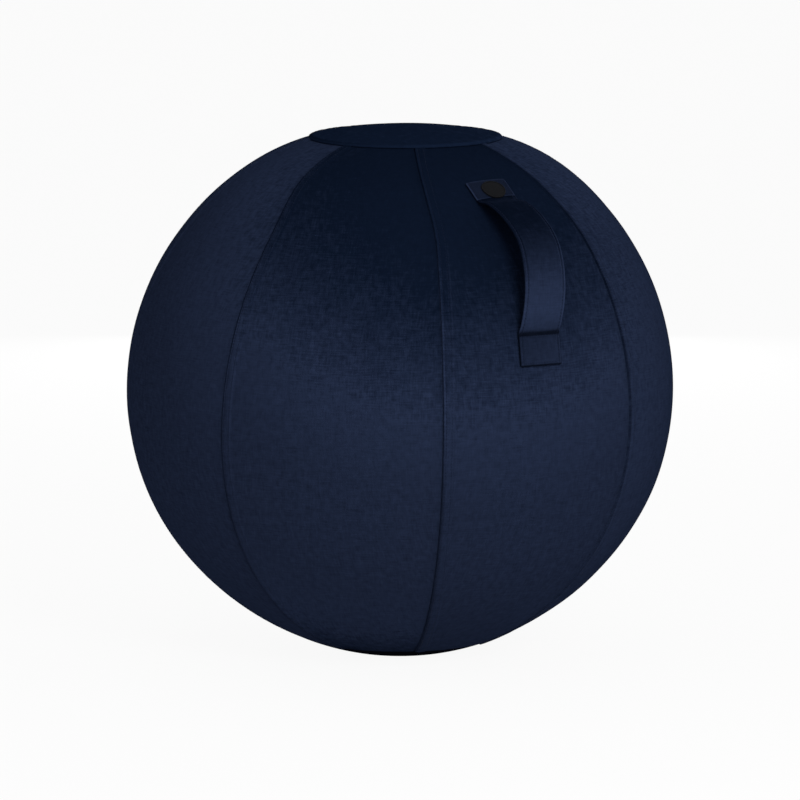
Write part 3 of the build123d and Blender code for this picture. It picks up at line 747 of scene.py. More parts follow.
# Painted shade in the creases at both stitch lines and where the arch turns in
BEND_SHADE, BEND_ABOVE, BEND_BELOW = 1.2, 0.0045, 0.0014  # crease at the lower stitch line
TUCK_SHADE, TUCK_FROM, TUCK_OVER = 0.32, 0.034, 0.03  # arch turning in to the lower stitch line
TOP_SHADE, TOP_AT, TOP_HALF = 0.4, 0.001, 0.002  # crease at the upper stitch line
TAB_OVER = 0.002  # length over which a tab's tone and pile change at its stitch line
# Painted shade over both tabs; the upper tab's rim less shaded, the lower tab's rim more
UPPER_TAB_SHADE, UPPER_RIM = 0.72, 0.45  # shade of the upper tab, and how much less its rim has
LOWER_TAB_SHADE, LOWER_RIM = 0.25, 1.0  # shade of the lower tab, and how much more its rim has
UPPER_RIM_AT, UPPER_RIM_OVER, UPPER_RIM_END = 0.93, 0.03, 0.003
LOWER_RIM_AT, LOWER_RIM_OVER, LOWER_RIM_END = 0.955, 0.02, 0.0022
RIM_END_OVER = 0.001


class StrapPath:
    """The strap's middle line in the upright plane through it, evenly spaced from its upper end.

    It lies on the ball along each tab and on a circle between the stitch lines. A cubic that keeps
    both directions rounds the bend at each stitch line. A point is its distance from the axis and
    its height. Kept are the points, their outward normals and distances along the line, the line's
    whole length, and the distances of the two stitch lines.
    """

    def __init__(self, outline, strap):
        lift = strap.seat + strap.thick / 2
        middle = (strap.upper_stitch + strap.lower_stitch) / 2
        half_angle = (strap.upper_stitch - strap.lower_stitch) / 2
        half_chord = outline.ball_radius * np.sin(half_angle)
        bow = (half_chord**2 + strap.rise**2) / (2 * strap.rise)
        away = outline.ball_radius * np.cos(half_angle) + strap.rise - bow
        centre = np.array([np.cos(middle) * away, np.sin(middle) * away + outline.centre])
        end = np.arcsin(half_chord / bow)
        swing = middle + np.linspace(end - strap.upper_bend / bow, -end + strap.lower_bend / bow, ARCH_STEPS)
        arch = centre + bow * np.stack([np.cos(swing), np.sin(swing)], axis=-1)

        def on_ball(first, last):
            """A tab: the ball's outline between two latitudes."""
            return np.stack(outline.point(-np.linspace(first, last, BEND_STEPS), lift), axis=-1)

        tab = strap.tab / outline.ball_radius
        upper = on_ball(strap.upper_stitch + tab, strap.upper_stitch)
        lower = on_ball(strap.lower_stitch, strap.lower_stitch - tab)
        first, second = self.bend(upper[-2:], arch[:2]), self.bend(arch[-2:], lower[:2])
        line = np.concatenate([upper, first, arch, second, lower])
        gone = path_length(line)
        self.total = gone[-1]
        self.upper_end = gone[BEND_STEPS - 1]
        self.lower_end = gone[-BEND_STEPS]
        self.along = np.linspace(0.0, self.total, 2 * int(self.total / STRAP_STEP) + 1)
        self.points = np.stack([np.interp(self.along, gone, line[:, axis]) for axis in (0, 1)], axis=-1)
        tangent = unit(np.gradient(self.points, axis=0))
        self.normal = np.stack([-tangent[:, 1], tangent[:, 0]], axis=-1)

    @staticmethod
    def bend(before, after):
        """Cubic from the pair of points before it to the pair after it, along both their directions."""
        t = np.linspace(0.0, 1.0, BEND_STEPS)[1:-1, None]
        start, stop = before[1], after[0]
        pull = np.linalg.norm(stop - start)
        leave, arrive = pull * unit(before[1] - before[0]), pull * unit(after[1] - after[0])
        cubic = (2 * t**3 - 3 * t**2 + 1) * start + (t**3 - 2 * t**2 + t) * leave
        return cubic + (3 * t**2 - 2 * t**3) * stop + (t**3 - t**2) * arrive

    def at(self, gone, values):
        """Values of the line's points, read at distances along it."""
        return np.stack([np.interp(gone, self.along, values[:, axis]) for axis in (0, 1)], axis=-1)

    def from_end(self, along):
        """Distance from the strap's nearer end."""
        return np.minimum(along, self.total - along)


def strap_half_thickness(strap, path, across, along):
    """Half thickness over the strap: a flat rounded section, sunk along the edge and box stitch lines."""
    half = strap.width / 2
    out = np.abs(across)
    body = strap.thick / 2 * np.sqrt(np.clip(1 - (out / half) ** FLAT_POWER, 0.0, 1.0))
    edge_line = bell(out - half + strap.stitch_inset, LINE_HALF)
    inside = smooth_step((half - strap.stitch_inset + BOX_CLEAR - out) / BOX_EDGE)
    box = (path.upper_end - strap.box_inset, path.lower_end + strap.box_inset)
    lines = (strap.stitch_inset, *box, path.total - strap.stitch_inset)
    cross = sum(bell(along - place, LINE_HALF) for place in lines)
    arch = smooth_step((along - path.upper_end) / BOX_FADE) * smooth_step((path.lower_end - along) / BOX_FADE)
    ends = np.sqrt(1 - (1 - np.clip(path.from_end(along) / END_ROUND, END_LEAST, 1.0)) ** 2)
    sunk = strap.stitch_sink * np.maximum(edge_line, cross * inside * (1 - arch))
    puff = PUFF * (1 - (across / half) ** 2)
    wave = EDGE_WAVE * ripple(along, EDGE_WAVES, EDGE_SEED) * bell(out - half + EDGE_WAVE_AT, EDGE_WAVE_HALF)
    padded = body * ends - sunk * (body > SINK_FROM) + (puff + wave) * (body > PUFF_FROM)
    return np.maximum(padded, LEAST_THICK)


def strap_shift(strap, path, along):
    """How far the strap lies off the gore's middle: a line between its ends and sway * sin^2(pi s)."""
    part = along / path.total
    sewn = strap.upper_shift + (strap.lower_shift - strap.upper_shift) * part
    return sewn + strap.sway * np.sin(np.pi * part) ** 2


def tab_tilt(strap, path, across, along):
    """How far up the ball a point lies for the upper tab's tilt, which fades to the strap's middle."""
    middle = path.total / 2
    return across * np.tan(strap.upper_tilt) * smooth_step((middle - along) / (middle - path.upper_end))


def tab_sag(outline, path, across, along):
    """How far the tabs wrap round the ball: across^2 / (2 radius) on the tabs, fading along the arch."""
    arch = smooth_step((along - path.upper_end) / UPPER_SAG)
    arch = arch * smooth_step((path.lower_end - along) / LOWER_SAG)
    return (1 - arch) * across**2 / (2 * outline.ball_radius)


def strap_tone(strap, path, across, along):
    """Tone of the strap: painted highlights on the ridges beside its edges, painted shade on its edges, in
    its creases and over its tabs, the tabs with their own rims.
    """
    edge = np.abs(across) / (strap.width / 2)
    above, below = path.lower_end - along, along - path.lower_end
    ridge = RIDGE_LIGHT * bell(edge - RIDGE_AT, RIDGE_HALF)
    ridge = ridge - SIDE_SHADE * smooth_step((edge - SIDE_AT) / SIDE_OVER)
    apart = np.clip(above, 0.0, None) / BEND_ABOVE + np.clip(below, 0.0, None) / BEND_BELOW
    crease = BEND_SHADE * bell(apart, 1.0)
    crease = crease + TUCK_SHADE * smooth_step((below + TUCK_FROM) / TUCK_OVER) * (below < 0)
    crease = crease + TOP_SHADE * bell(along - path.upper_end - TOP_AT, TOP_HALF)
    upper_rim = smooth_step((edge - UPPER_RIM_AT) / UPPER_RIM_OVER)
    upper_rim = np.maximum(upper_rim, smooth_step((UPPER_RIM_END - along) / RIM_END_OVER))
    lower_rim = smooth_step((edge - LOWER_RIM_AT) / LOWER_RIM_OVER)
    lower_rim = np.maximum(lower_rim, smooth_step((along - path.total + LOWER_RIM_END) / RIM_END_OVER))
    upper = smooth_step((path.upper_end - along) / TAB_OVER) * (UPPER_TAB_SHADE - UPPER_RIM * upper_rim)
    lower = smooth_step(below / TAB_OVER) * (LOWER_TAB_SHADE + LOWER_RIM * lower_rim)
    return np.clip(ridge - crease - (upper + lower), -1.0, 1.0)


def strap_surface(outline, strap, first_half):
    """Half of the strap: a flat rounded section carried along its middle line, from a tab to the middle.

    P(a, s) = line(s) + half thickness(a, s) * normal(s) + across(a) * X.
    """
    path = StrapPath(outline, strap)
    middle = len(path.along) // 2
    rows = slice(0, middle + 1) if first_half else slice(middle, None)
    side = np.cos(np.linspace(np.pi, 0.0, FACE_COLUMNS))
    across = np.concatenate([side, side[::-1][1:-1]])[None, :] * strap.width / 2
    way = np.concatenate([np.ones(FACE_COLUMNS), -np.ones(FACE_COLUMNS - 2)])
    along = path.along[rows, None]
    thick = strap_half_thickness(strap, path, across, along)
    inset = CORNER_INSET * (1 - np.clip(path.from_end(along) / CORNER_LENGTH, 0.0, 1.0)) ** 2
    wide = across * (1 - inset / strap.width * 2) + strap_shift(strap, path, along)
    sag = tab_sag(outline, path, wide, along)
    down = unit(np.gradient(path.points[rows], axis=0))[:, None, :]
    up = tab_tilt(strap, path, across, along)
    raised = path.normal[rows, None, :] * (way * thick - sag)[..., None]
    plane = path.points[rows, None, :] + raised - down * up[..., None]
    points = np.stack([wide, -plane[..., 0], plane[..., 1]], axis=-1)
    lean = np.stack([0 * along, -down[..., 0], down[..., 1]], axis=-1)
    lean = lean * (2 * smooth_step((along - path.upper_end + TAB_OVER / 2) / TAB_OVER) - 1)[..., None]
    flat = np.stack([across + UNDER_OFFSET * (way < 0) + 0 * thick, along + 0 * thick], axis=-1)
    tone = strap_tone(strap, path, across, along)
    return points, flat, np.broadcast_to(lean, points.shape), tone


def ring_caps(rows, columns):
    """Quads and triangles that close the first and last ring of a tube whose rings mirror top to bottom."""
    half = columns // 2
    index = np.arange(1, half - 1)
    cap = np.stack([index, index + 1, columns - index - 1, columns - index], axis=-1)
    ends = np.array([[0, 1, columns - 1], [half - 1, half, half + 1]])
    last = (rows - 1) * columns
    far = (cap + last)[:, ::-1].tolist() + (ends + last)[:, ::-1].tolist()
    return cap.tolist() + ends.tolist() + far


# Badge
BADGE_SEAT = 0.0001  # gap between the badge and the strap
BADGE_RINGS, BADGE_RIM_RINGS, BADGE_SIDES = 24, 12, 96
BADGE_MIDDLE = 1e-4
BADGE_SIDE, BADGE_UNDERCUT = 0.0006, 0.0008  # height of the upright side and the foot drawn in below it


def badge_surface(outline, strap):
    """Badge: a disc with a raised rounded rim turned about its own axis, bent to the ball's curve."""
    radius = outline.ball_radius
    turn = -(strap.upper_stitch + (strap.tab / 2 - strap.badge_drop) / radius)
    reach, rim = strap.badge_radius, strap.badge_rim
    arc = np.linspace(0.0, np.pi, BADGE_RIM_RINGS)[1:]
    face = np.linspace(BADGE_MIDDLE, reach - rim, BADGE_RINGS)
    edge = reach - rim / 2 - rim / 2 * np.cos(arc)
    out = np.concatenate([face, edge, [reach, reach - BADGE_UNDERCUT]])[:, None]
    lip = strap.badge_thick + strap.badge_lip * np.sin(arc)
    rise = np.concatenate([np.full(BADGE_RINGS, strap.badge_thick), lip, [BADGE_SIDE, 0.0]])[:, None]
    around = around_axis(BADGE_SIDES)
    across, up = out * np.cos(around), out * np.sin(around)
    lift = strap.seat + strap.thick + BADGE_SEAT + rise + 0 * across
    ball_out, ball_height = outline.point(turn - up / radius, lift)
    sag = across**2 / (2 * radius)
    beside = across + strap.badge_shift
    points = np.stack([beside, -(ball_out - sag * np.cos(turn)), ball_height + sag * np.sin(turn)], axis=-1)
    return points, np.stack([across, up], axis=-1)


# Stitches
STITCH_RINGS, STITCH_SIDES = 5, 4
STITCH_RISE, STITCH_DIP = 0.7, 1.9  # height of a stitch's middle and its dip at the ends, in thread radii
STITCH_FULL, STITCH_TAPER = 1.05, 0.8
STITCH_CLEAR = 0.002  # seam left without stitches under the cap and at the base
SEAM_SEAT, FAR_SEAT = 0.8, 0.75  # how deep the threads lie on the welt
STRAP_SEAT = 0.75
UPPER_BARE, LOWER_BARE = 0.012, 0.008  # underside of the arch without stitches, beside the tabs


def stitch_run(centres, along, outward, stitch):
    """Many stitches at once: short threads, highest in the middle, dipping into the cloth at both ends."""
    t = np.linspace(-1.0, 1.0, STITCH_RINGS)[:, None]
    around = around_axis(STITCH_SIDES)[:, None] + np.pi / 4
    centres, along, outward = centres[:, None, :], along[:, None, :], outward[:, None, :]
    line = centres + along * t * stitch.stitch / 2
    line = line + outward * stitch.thread * (STITCH_RISE - STITCH_DIP * t**4)
    ring = np.cross(outward, along) * np.cos(around) + outward * np.sin(around)
    thin = stitch.thread * np.sqrt(STITCH_FULL - t**2 * STITCH_TAPER)
    points = line[:, :, None, :] + ring[:, None, :, :] * thin[None, :, None, :]
    one = np.array(tube_faces(STITCH_RINGS, STITCH_SIDES, flip=True))
    faces = np.arange(len(centres))[:, None, None] * STITCH_RINGS * STITCH_SIDES + one
    return points.reshape(-1, 3), faces.reshape(-1, STITCH_SIDES)


def seam_stitches(outline, cover, zip_sizes, stitch):
    """Places and directions of the topstitches beside every seam of the gores, in two lines."""
    top = outline.turn_at(cover.cap_radius + STITCH_CLEAR, False)
    seam = outline.turn_at(cover.base_radius, True)
    end = seam - (zip_sizes.window + STITCH_CLEAR) / outline.under_radius
    fine, gone = outline.walk(top, end, SEAM_STEPS)
    count = int(gone[-1] / stitch.pitch)
    turn = np.interp((np.arange(count) + 0.5) * stitch.pitch, gone, fine)
    off = np.array([cover.near_line, cover.far_line])
    turn, bearing, off = np.meshgrid(turn, seam_headings(cover), off, indexing="ij")
    lift = cover.welt_rise - cover.stitch_sink * SEAM_SEAT
    out, height = outline.point(turn, lift * np.where(off > cover.near_line, FAR_SEAT, 1.0))
    bearing = bearing + (off + cover.seam_gap / 2) / out
    places = ring_points(out, height, bearing)
    outward = ring_points(np.cos(turn), -np.sin(turn), bearing)
    along = ring_points(-np.sin(turn), -np.cos(turn), bearing)
    return [vectors.reshape(-1, 3) for vectors in (places, along, outward)]


def strap_stitches(outline, strap, stitch, first_half):
    """Places and directions of half the strap's stitches: both edges, both faces and across the tab."""
    path = StrapPath(outline, strap)
    inset = strap.stitch_inset
    if first_half:
        start, stop = inset, path.total / 2
        lines = (inset, path.upper_end - strap.box_inset)
    else:
        start, stop = path.total / 2, path.total - inset
        lines = (path.lower_end + strap.box_inset, stop)
    count = int((stop - start) / stitch.pitch)
    gone = start + (np.arange(count) + 0.5) * (stop - start) / count
    gone, edge, face = (part.ravel() for part in np.meshgrid(gone, [-1.0, 1.0], [-1.0, 1.0], indexing="ij"))
    span = strap.width - 2 * inset
    over = -span / 2 + (np.arange(int(span / stitch.pitch)) + 0.5) * stitch.pitch
    over, row = (part.ravel() for part in np.meshgrid(over, lines, indexing="ij"))
    crosswise = np.concatenate([np.zeros(len(gone), bool), np.ones(len(over), bool)])
    across = np.concatenate([edge * span / 2, over])
    gone = np.concatenate([gone, row])
    face = np.concatenate([face, np.ones(len(over))])
    keep = (face > 0) | ((gone > path.upper_end + UPPER_BARE) & (gone < path.lower_end - LOWER_BARE))
    gone, across, face, crosswise = gone[keep], across[keep], face[keep, None], crosswise[keep, None]
    facing = unit(path.at(gone, path.normal))
    up = tab_tilt(strap, path, across, gone)
    across = across + strap_shift(strap, path, gone)
    sag = tab_sag(outline, path, across, gone)
    depth = strap.thick / 2 - strap.stitch_sink * STRAP_SEAT
    lengthwise = np.stack([facing[:, 1], -facing[:, 0]], axis=-1)
    plane = path.at(gone, path.points) + facing * (face * depth - sag[:, None]) - lengthwise * up[:, None]
    places = np.stack([across, -plane[:, 0], plane[:, 1]], axis=-1)
    outward = np.stack([0 * across, -facing[:, 0], facing[:, 1]], axis=-1) * face
    down = np.stack([0 * across, -facing[:, 1], -facing[:, 0]], axis=-1)
    return places, np.where(crosswise, [1.0, 0.0, 0.0], down), outward


# Materials


def add_node(tree, kind, inputs=None, **fields):
    """New node with its settings and the values of its unlinked inputs."""
    made = tree.nodes.new(kind)
    for key, value in fields.items():
        setattr(made, key, value)
    for key, value in (inputs or {}).items():
        made.inputs[key].default_value = value
    return made


def feed(tree, socket, value):
    """Links an input to another node's socket, or sets it to a plain value."""
    if isinstance(value, bpy.types.NodeSocket):
        tree.links.new(value, socket)
    else:
        socket.default_value = value


def new_material(name):
    """Empty material with a Principled shader, returned with its tree and shader."""
    material = bpy.data.materials.new(name)
    material.use_nodes = True
    return material, material.node_tree, material.node_tree.nodes["Principled BSDF"]


def new_group(name, inputs, outputs):
    """Empty node group with the given sockets, returned with its input and output nodes."""
    group = bpy.data.node_groups.new(name, "ShaderNodeTree")
    for in_out, labels in (("INPUT", inputs), ("OUTPUT", outputs)):
        for label in labels:
            kind = "NodeSocketVector" if label == "Cloth" else "NodeSocketFloat"
            group.interface.new_socket(label, in_out=in_out, socket_type=kind)
    return group, group.nodes.new("NodeGroupInput").outputs, group.nodes.new("NodeGroupOutput").inputs


def shared(name, maker, *values, **named):
    """Material or node group made once and used again."""
    found = bpy.data.materials.get(name) or bpy.data.node_groups.get(name)
    return found or maker(name, *values, **named)


def stretched_noise(tree, vector, scale, detail=2.0):
    """Noise over cloth coordinates, stretched by a scale for each direction; returns its value socket."""
    stretch = add_node(tree, "ShaderNodeVectorMath", {1: scale}, operation="MULTIPLY")
    tree.links.new(vector, stretch.inputs[0])
    noise = add_node(tree, "ShaderNodeTexNoise", {"Scale": 1.0, "Detail": detail, "Roughness": 0.55})
    tree.links.new(stretch.outputs[0], noise.inputs["Vector"])
    return noise.outputs["Fac"]


def math(tree, operation, first, second=0.0):
    """Math node on two sockets or numbers; returns its value socket."""
    made = add_node(tree, "ShaderNodeMath", operation=operation)
    feed(tree, made.inputs[0], first)
    feed(tree, made.inputs[1], second)
    return made.outputs[0]


def weighted(tree, *parts):
    """Sum of sockets, each times its weight; returns its value socket."""
    scaled_parts = [math(tree, "MULTIPLY", socket, weight) for socket, weight in parts]
    total = scaled_parts[0]
    for part in scaled_parts[1:]:
        total = math(tree, "ADD", total, part)
    return total


def swing(tree, value, centre, gain):
    """(value - centre) * gain; returns its value socket."""
    return math(tree, "MULTIPLY", math(tree, "SUBTRACT", value, centre), gain)


def scaled(tree, vector, amount):
    """A colour or vector times an amount, each a socket or plain; returns its vector socket."""
    made = add_node(tree, "ShaderNodeVectorMath", operation="SCALE")
    feed(tree, made.inputs[0], vector)
    feed(tree, made.inputs["Scale"], amount)
    return made.outputs[0]


def use_group(tree, group, **inputs):
    """Node that uses a group, with plain values or sockets for its inputs; returns its outputs."""
    made = add_node(tree, "ShaderNodeGroup", node_tree=group)
    for key, value in inputs.items():
        feed(tree, made.inputs[key], value)
    return made.outputs


def cloth_coordinates(tree):
    """Socket with the piece's own flat cloth coordinates, in metres, and its tone."""
    return add_node(tree, "ShaderNodeAttribute", attribute_name="cloth").outputs["Vector"]


def bumped(tree, shader, height, strength, distance):
    """Bump from a height, linked to the shader; returns the normal socket."""
    bump = add_node(tree, "ShaderNodeBump", {"Strength": strength, "Distance": distance})
    tree.links.new(height, bump.inputs["Height"])
    tree.links.new(bump.outputs["Normal"], shader.inputs["Normal"])
    return bump.outputs["Normal"]


# Velvet: waves of its nap for each metre across and along the cloth, and how they add up
WEFT, WARP, BLOTCH = (60.0, 640.0, 0.0), (560.0, 75.0, 0.0), (150.0, 110.0, 0.0)
BRUSHED, GRAIN = (34.0, 22.0, 0.0), (1900.0, 1900.0, 0.0)
CLOUDY, FINE = 3.0, 1.0  # detail of the noise
WARP_SHARE, GRAIN_SHARE, SHADE_MIDDLE = 0.8, 0.15, 1.475  # the shade, which swings about its middle
LEAST_SHADE = 0.2
BRUSH_SHARE, SLUB_SHARE, LAY_MIDDLE = 0.7, 0.8, 1.42  # the lie of the pile, about its middle
NAP_SHARE = 0.5  # slubs and grain in the bump
NAP_BUMP, NAP_DEPTH = 0.25, 0.0006
TIPS_AT, LIGHT_AT, SIDES_AT = 0.15, 0.49, 0.78  # places of the three pile colours on the ramp
SLUB_SEEN = {"From Min": 0.1, "From Max": 0.45, "To Min": 0.45, "To Max": 1.0}  # less seen into the pile
VELVET_ROUGH = 0.85

# Woven cloth and moulded parts
WEAR_WAVES, CLOUD_WAVES = (45.0, 45.0, 1.0), (60.0, 60.0, 60.0)
CROSSING_SHARE, WEAR_SHARE, WEAVE_SHADE = 0.16, 0.5, 0.75
WEAVE_BUMP, WEAVE_DEPTH = 0.5, 0.0004
CLOUD_ROUGH = 0.2  # how far the clouds change the roughness
GRAIN_BUMP = 0.4


def nap_group(name):
    """Node group for velvet: cloth coordinates to a shade around 1, a ruffle around 0 and a bump height.

    The shade sums slubs, blotches and grain. The ruffle sums blotches, brushed patches and slubs.
    """
    group, entry, leave = new_group(name, ("Cloth", "Slub", "Ruffle"), ("Shade", "Ruffle", "Height"))
    cloth = entry["Cloth"]
    weft = stretched_noise(group, cloth, WEFT)
    warp = stretched_noise(group, cloth, WARP)
    blotch = stretched_noise(group, cloth, BLOTCH, CLOUDY)
    brushed = stretched_noise(group, cloth, BRUSHED, CLOUDY)
    grain = stretched_noise(group, cloth, GRAIN, FINE)
    slubs = weighted(group, (weft, 1.0), (warp, WARP_SHARE))
    total = weighted(group, (slubs, 1.0), (blotch, 1.0), (grain, GRAIN_SHARE))
    shade = math(group, "ADD", swing(group, total, SHADE_MIDDLE, entry["Slub"]), 1.0)
    group.links.new(math(group, "MAXIMUM", shade, LEAST_SHADE), leave["Shade"])
    lay = weighted(group, (blotch, BRUSH_SHARE), (brushed, BRUSH_SHARE), (slubs, SLUB_SHARE))
    group.links.new(swing(group, lay, LAY_MIDDLE, entry["Ruffle"]), leave["Ruffle"])
    group.links.new(weighted(group, (slubs, NAP_SHARE), (grain, NAP_SHARE)), leave["Height"])
    return group


def weave_group(name):
    """Node group for plain woven cloth: cloth coordinates to a shade around 1 and a bump height."""
    group, entry, leave = new_group(name, ("Cloth", "Threads"), ("Shade", "Height"))
    apart = group.nodes.new("ShaderNodeSeparateXYZ")
    group.links.new(entry["Cloth"], apart.inputs[0])
    counts = [math(group, "MULTIPLY", apart.outputs[axis], entry["Threads"]) for axis in (0, 1)]
    crossing = math(group, "MULTIPLY", *(math(group, "SINE", count) for count in counts))
    wear = stretched_noise(group, entry["Cloth"], WEAR_WAVES, CLOUDY)
    shade = weighted(group, (crossing, CROSSING_SHARE), (wear, WEAR_SHARE))
    group.links.new(math(group, "ADD", shade, WEAVE_SHADE), leave["Shade"])
    group.links.new(crossing, leave["Height"])
    return group


def velvet(name, finish, dark, side, rub):
    """Velvet: dark seen into the tips of its leaning pile, lighter across it, with slubs, and the pieces'
    tone: painted light and shade on folds, ridges, seams, creases and tabs, and wear on folded edges.
    """
    material, tree, shader = new_material(name)
    cloth = cloth_coordinates(tree)
    nap = shared("Velvet nap", nap_group)
    texture = use_group(tree, nap, Cloth=cloth, Slub=finish.slub * rub, Ruffle=finish.ruffle * rub)
    normal = bumped(tree, shader, texture["Height"], NAP_BUMP, NAP_DEPTH)
    lean = add_node(tree, "ShaderNodeAttribute", attribute_name="lean")
    turned = add_node(tree, "ShaderNodeVectorTransform", convert_from="OBJECT", convert_to="WORLD")
    tree.links.new(lean.outputs["Vector"], turned.inputs[0])
    pile = add_node(tree, "ShaderNodeVectorMath", operation="ADD")
    tree.links.new(scaled(tree, normal, float(np.cos(finish.pile_lean))), pile.inputs[0])
    tree.links.new(scaled(tree, turned.outputs[0], float(np.sin(finish.pile_lean))), pile.inputs[1])
    straight = add_node(tree, "ShaderNodeVectorMath", operation="NORMALIZE")
    tree.links.new(pile.outputs[0], straight.inputs[0])
    weight = add_node(tree, "ShaderNodeLayerWeight", {"Blend": 0.5})
    tree.links.new(straight.outputs[0], weight.inputs["Normal"])
    facing = weight.outputs["Facing"]
    ramp = tree.nodes.new("ShaderNodeValToRGB")
    tips, sides = ramp.color_ramp.elements
    tips.position, tips.color = TIPS_AT, (*dark, 1.0)
    sides.position, sides.color = SIDES_AT, (*side, 1.0)
    ramp.color_ramp.elements.new(LIGHT_AT).color = (*finish.pile_light, 1.0)
    tree.links.new(math(tree, "ADD", facing, texture["Ruffle"]), ramp.inputs["Fac"])
    contrast = add_node(tree, "ShaderNodeMapRange", SLUB_SEEN)
    tree.links.new(facing, contrast.inputs["Value"])
    shade = math(tree, "ADD", swing(tree, texture["Shade"], 1.0, contrast.outputs[0]), 1.0)
    # Painted tone from the cloth attribute: painted light and shade, partly wear on folded edges
    apart = tree.nodes.new("ShaderNodeSeparateXYZ")
    tree.links.new(cloth, apart.inputs[0])
    tone = math(tree, "ADD", math(tree, "MULTIPLY", apart.outputs[2], finish.painted_tone_gain), 1.0)
    tint = scaled(tree, ramp.outputs["Color"], math(tree, "MULTIPLY", tone, shade))
    tree.links.new(tint, shader.inputs["Base Color"])
    shader.inputs["Roughness"].default_value = VELVET_ROUGH
    shader.inputs["Specular IOR Level"].default_value = 0.0
    return material


def woven(name, tint, threads, roughness):
    """Plain woven cloth with a crossing bump and worn, uneven colour."""
    material, tree, shader = new_material(name)
    weave = shared("Plain weave", weave_group)
    texture = use_group(tree, weave, Cloth=cloth_coordinates(tree), Threads=threads)
    bumped(tree, shader, texture["Height"], WEAVE_BUMP, WEAVE_DEPTH)
    tree.links.new(scaled(tree, tint, texture["Shade"]), shader.inputs["Base Color"])
    shader.inputs["Roughness"].default_value = roughness
    shader.inputs["Specular IOR Level"].default_value = 0.0
    return material


def solid(name, tint, roughness, grain=900.0, bump=0.00008, wear=0.35, gloss=0.5):
    """Moulded or lacquered: fine grain, clouded colour and uneven roughness, in object coordinates."""
    material, tree, shader = new_material(name)
    place = tree.nodes.new("ShaderNodeTexCoord").outputs["Object"]
    clouds = stretched_noise(tree, place, CLOUD_WAVES, CLOUDY)
    fine = stretched_noise(tree, place, (grain, grain, grain))
    shade = math(tree, "ADD", math(tree, "MULTIPLY", clouds, wear), 1.0 - wear / 2)
    tree.links.new(scaled(tree, tint, shade), shader.inputs["Base Color"])
    uneven = math(tree, "ADD", math(tree, "MULTIPLY", clouds, CLOUD_ROUGH), roughness - CLOUD_ROUGH / 2)
    tree.links.new(uneven, shader.inputs["Roughness"])
    bumped(tree, shader, fine, GRAIN_BUMP, bump)
    shader.inputs["Specular IOR Level"].default_value = gloss
    return material


def cover_velvet(finish):
    """The velvet that the gores and the cap share."""
    return shared("Cover velvet", velvet, finish, finish.pile_dark, finish.pile_side, 1.0)


def strap_velvet(finish):
    """The same velvet on the strap, rubbed by hands, with painted shade into its pile and painted light along
    its sides.
    """
    return shared("Strap velvet", velvet, finish, finish.strap_dark, finish.strap_side, finish.strap_rub)


def thread_material(finish):
    """Sewing thread, a little glossy."""
    qualities = dict(roughness=0.7, grain=2500.0, bump=0.0001, wear=0.3, gloss=0.03)
    return shared("Sewing thread", solid, finish.thread_tint, **qualities)


def dress(material, *nodes):
    """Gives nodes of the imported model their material."""
    for node in nodes:
        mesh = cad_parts[node].data
        mesh.materials.clear()
        mesh.materials.append(material)


def fit(piece, material, node):
    """Gives a piece its material and sets it on the cover in place of a node."""
    piece.data.materials.append(material)
    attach(piece, "cover")
    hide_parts(node)


# Operators


class BallOperator(bpy.types.Operator):
    """Common behaviour of the sitting ball's operators."""

    bl_options = {"REGISTER", "UNDO"}

    def execute(self, context):
        held, outline = settings()
        self.build(held, outline)
        return {"FINISHED"}


class SITBALL_OT_gores(BallOperator):
    """Builds the eight velvet gores of the cover"""

    bl_idname = "sitball.gores"
    bl_label = "Gores"

    def build(self, held, outline):
        for number in range(held.cover.gores):
            points, flat, lean, tone = gore_surface(outline, held, number)
            faces = grid_faces(*points.shape[:2], False)[:, ::-1].tolist()
            piece = make_piece(f"velvet_gore_{number + 1}", points, faces, flat, lean, tone)
            thicken(piece, held.cover.cloth)
            fit(piece, cover_velvet(held.finish), f"cover_panel_{number + 1}")


class SITBALL_OT_cap(BallOperator):
    """Builds the velvet cap on top of the cover"""

    bl_idname = "sitball.cap"
    bl_label = "Cap"

    def build(self, held, outline):
        points, flat, lean, tone = cap_surface(outline, held.cover)
        faces = tube_faces(*points.shape[:2], last=False)
        piece = make_piece("velvet_cap", points, faces, flat, lean, tone)
        thicken(piece, held.cover.cloth)
        fit(piece, cover_velvet(held.finish), "top_cap")


class SITBALL_OT_base(BallOperator):
    """Builds the non-slip cloth of the base"""

    bl_idname = "sitball.base"
    bl_label = "Base"

    def build(self, held, outline):
        points, flat = base_surface(outline, held.cover, held.zip)
        piece = make_piece("base_cloth", points, tube_faces(*points.shape[:2], first=False), flat)
        thicken(piece, held.cover.cloth)
        cloth = woven("Base cloth", held.finish.base_tint, threads=2400.0, roughness=0.8)
        fit(piece, cloth, "base_panel")


class SITBALL_OT_strap(BallOperator):
    """Builds the carrying strap in two halves"""

    bl_idname = "sitball.strap"
    bl_label = "Strap"

    def build(self, held, outline):
        strap = held.strap
        path = StrapPath(outline, strap)
        halves = (("upper", True, path.upper_end, -1), ("lower", False, path.lower_end, 1))
        for half, first, root, way in halves:
            points, flat, lean, tone = strap_surface(outline, strap, first)
            rows, columns = points.shape[:2]
            faces = grid_faces(rows, columns, True)[:, ::-1].tolist() + ring_caps(rows, columns)
            piece = make_piece(f"strap_{half}", points, faces, flat, lean, tone, sharp=0.9)
            piece.data.materials.append(strap_velvet(held.finish))
            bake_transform(piece)
            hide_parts(f"handle_{half}_end", "handle_grip")
            points, faces = stitch_run(*strap_stitches(outline, strap, held.stitch, first), held.stitch)
            thread = make_piece(f"strap_{half}_stitching", points, faces.tolist())
            thread.data.materials.append(thread_material(held.finish))
            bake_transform(thread)


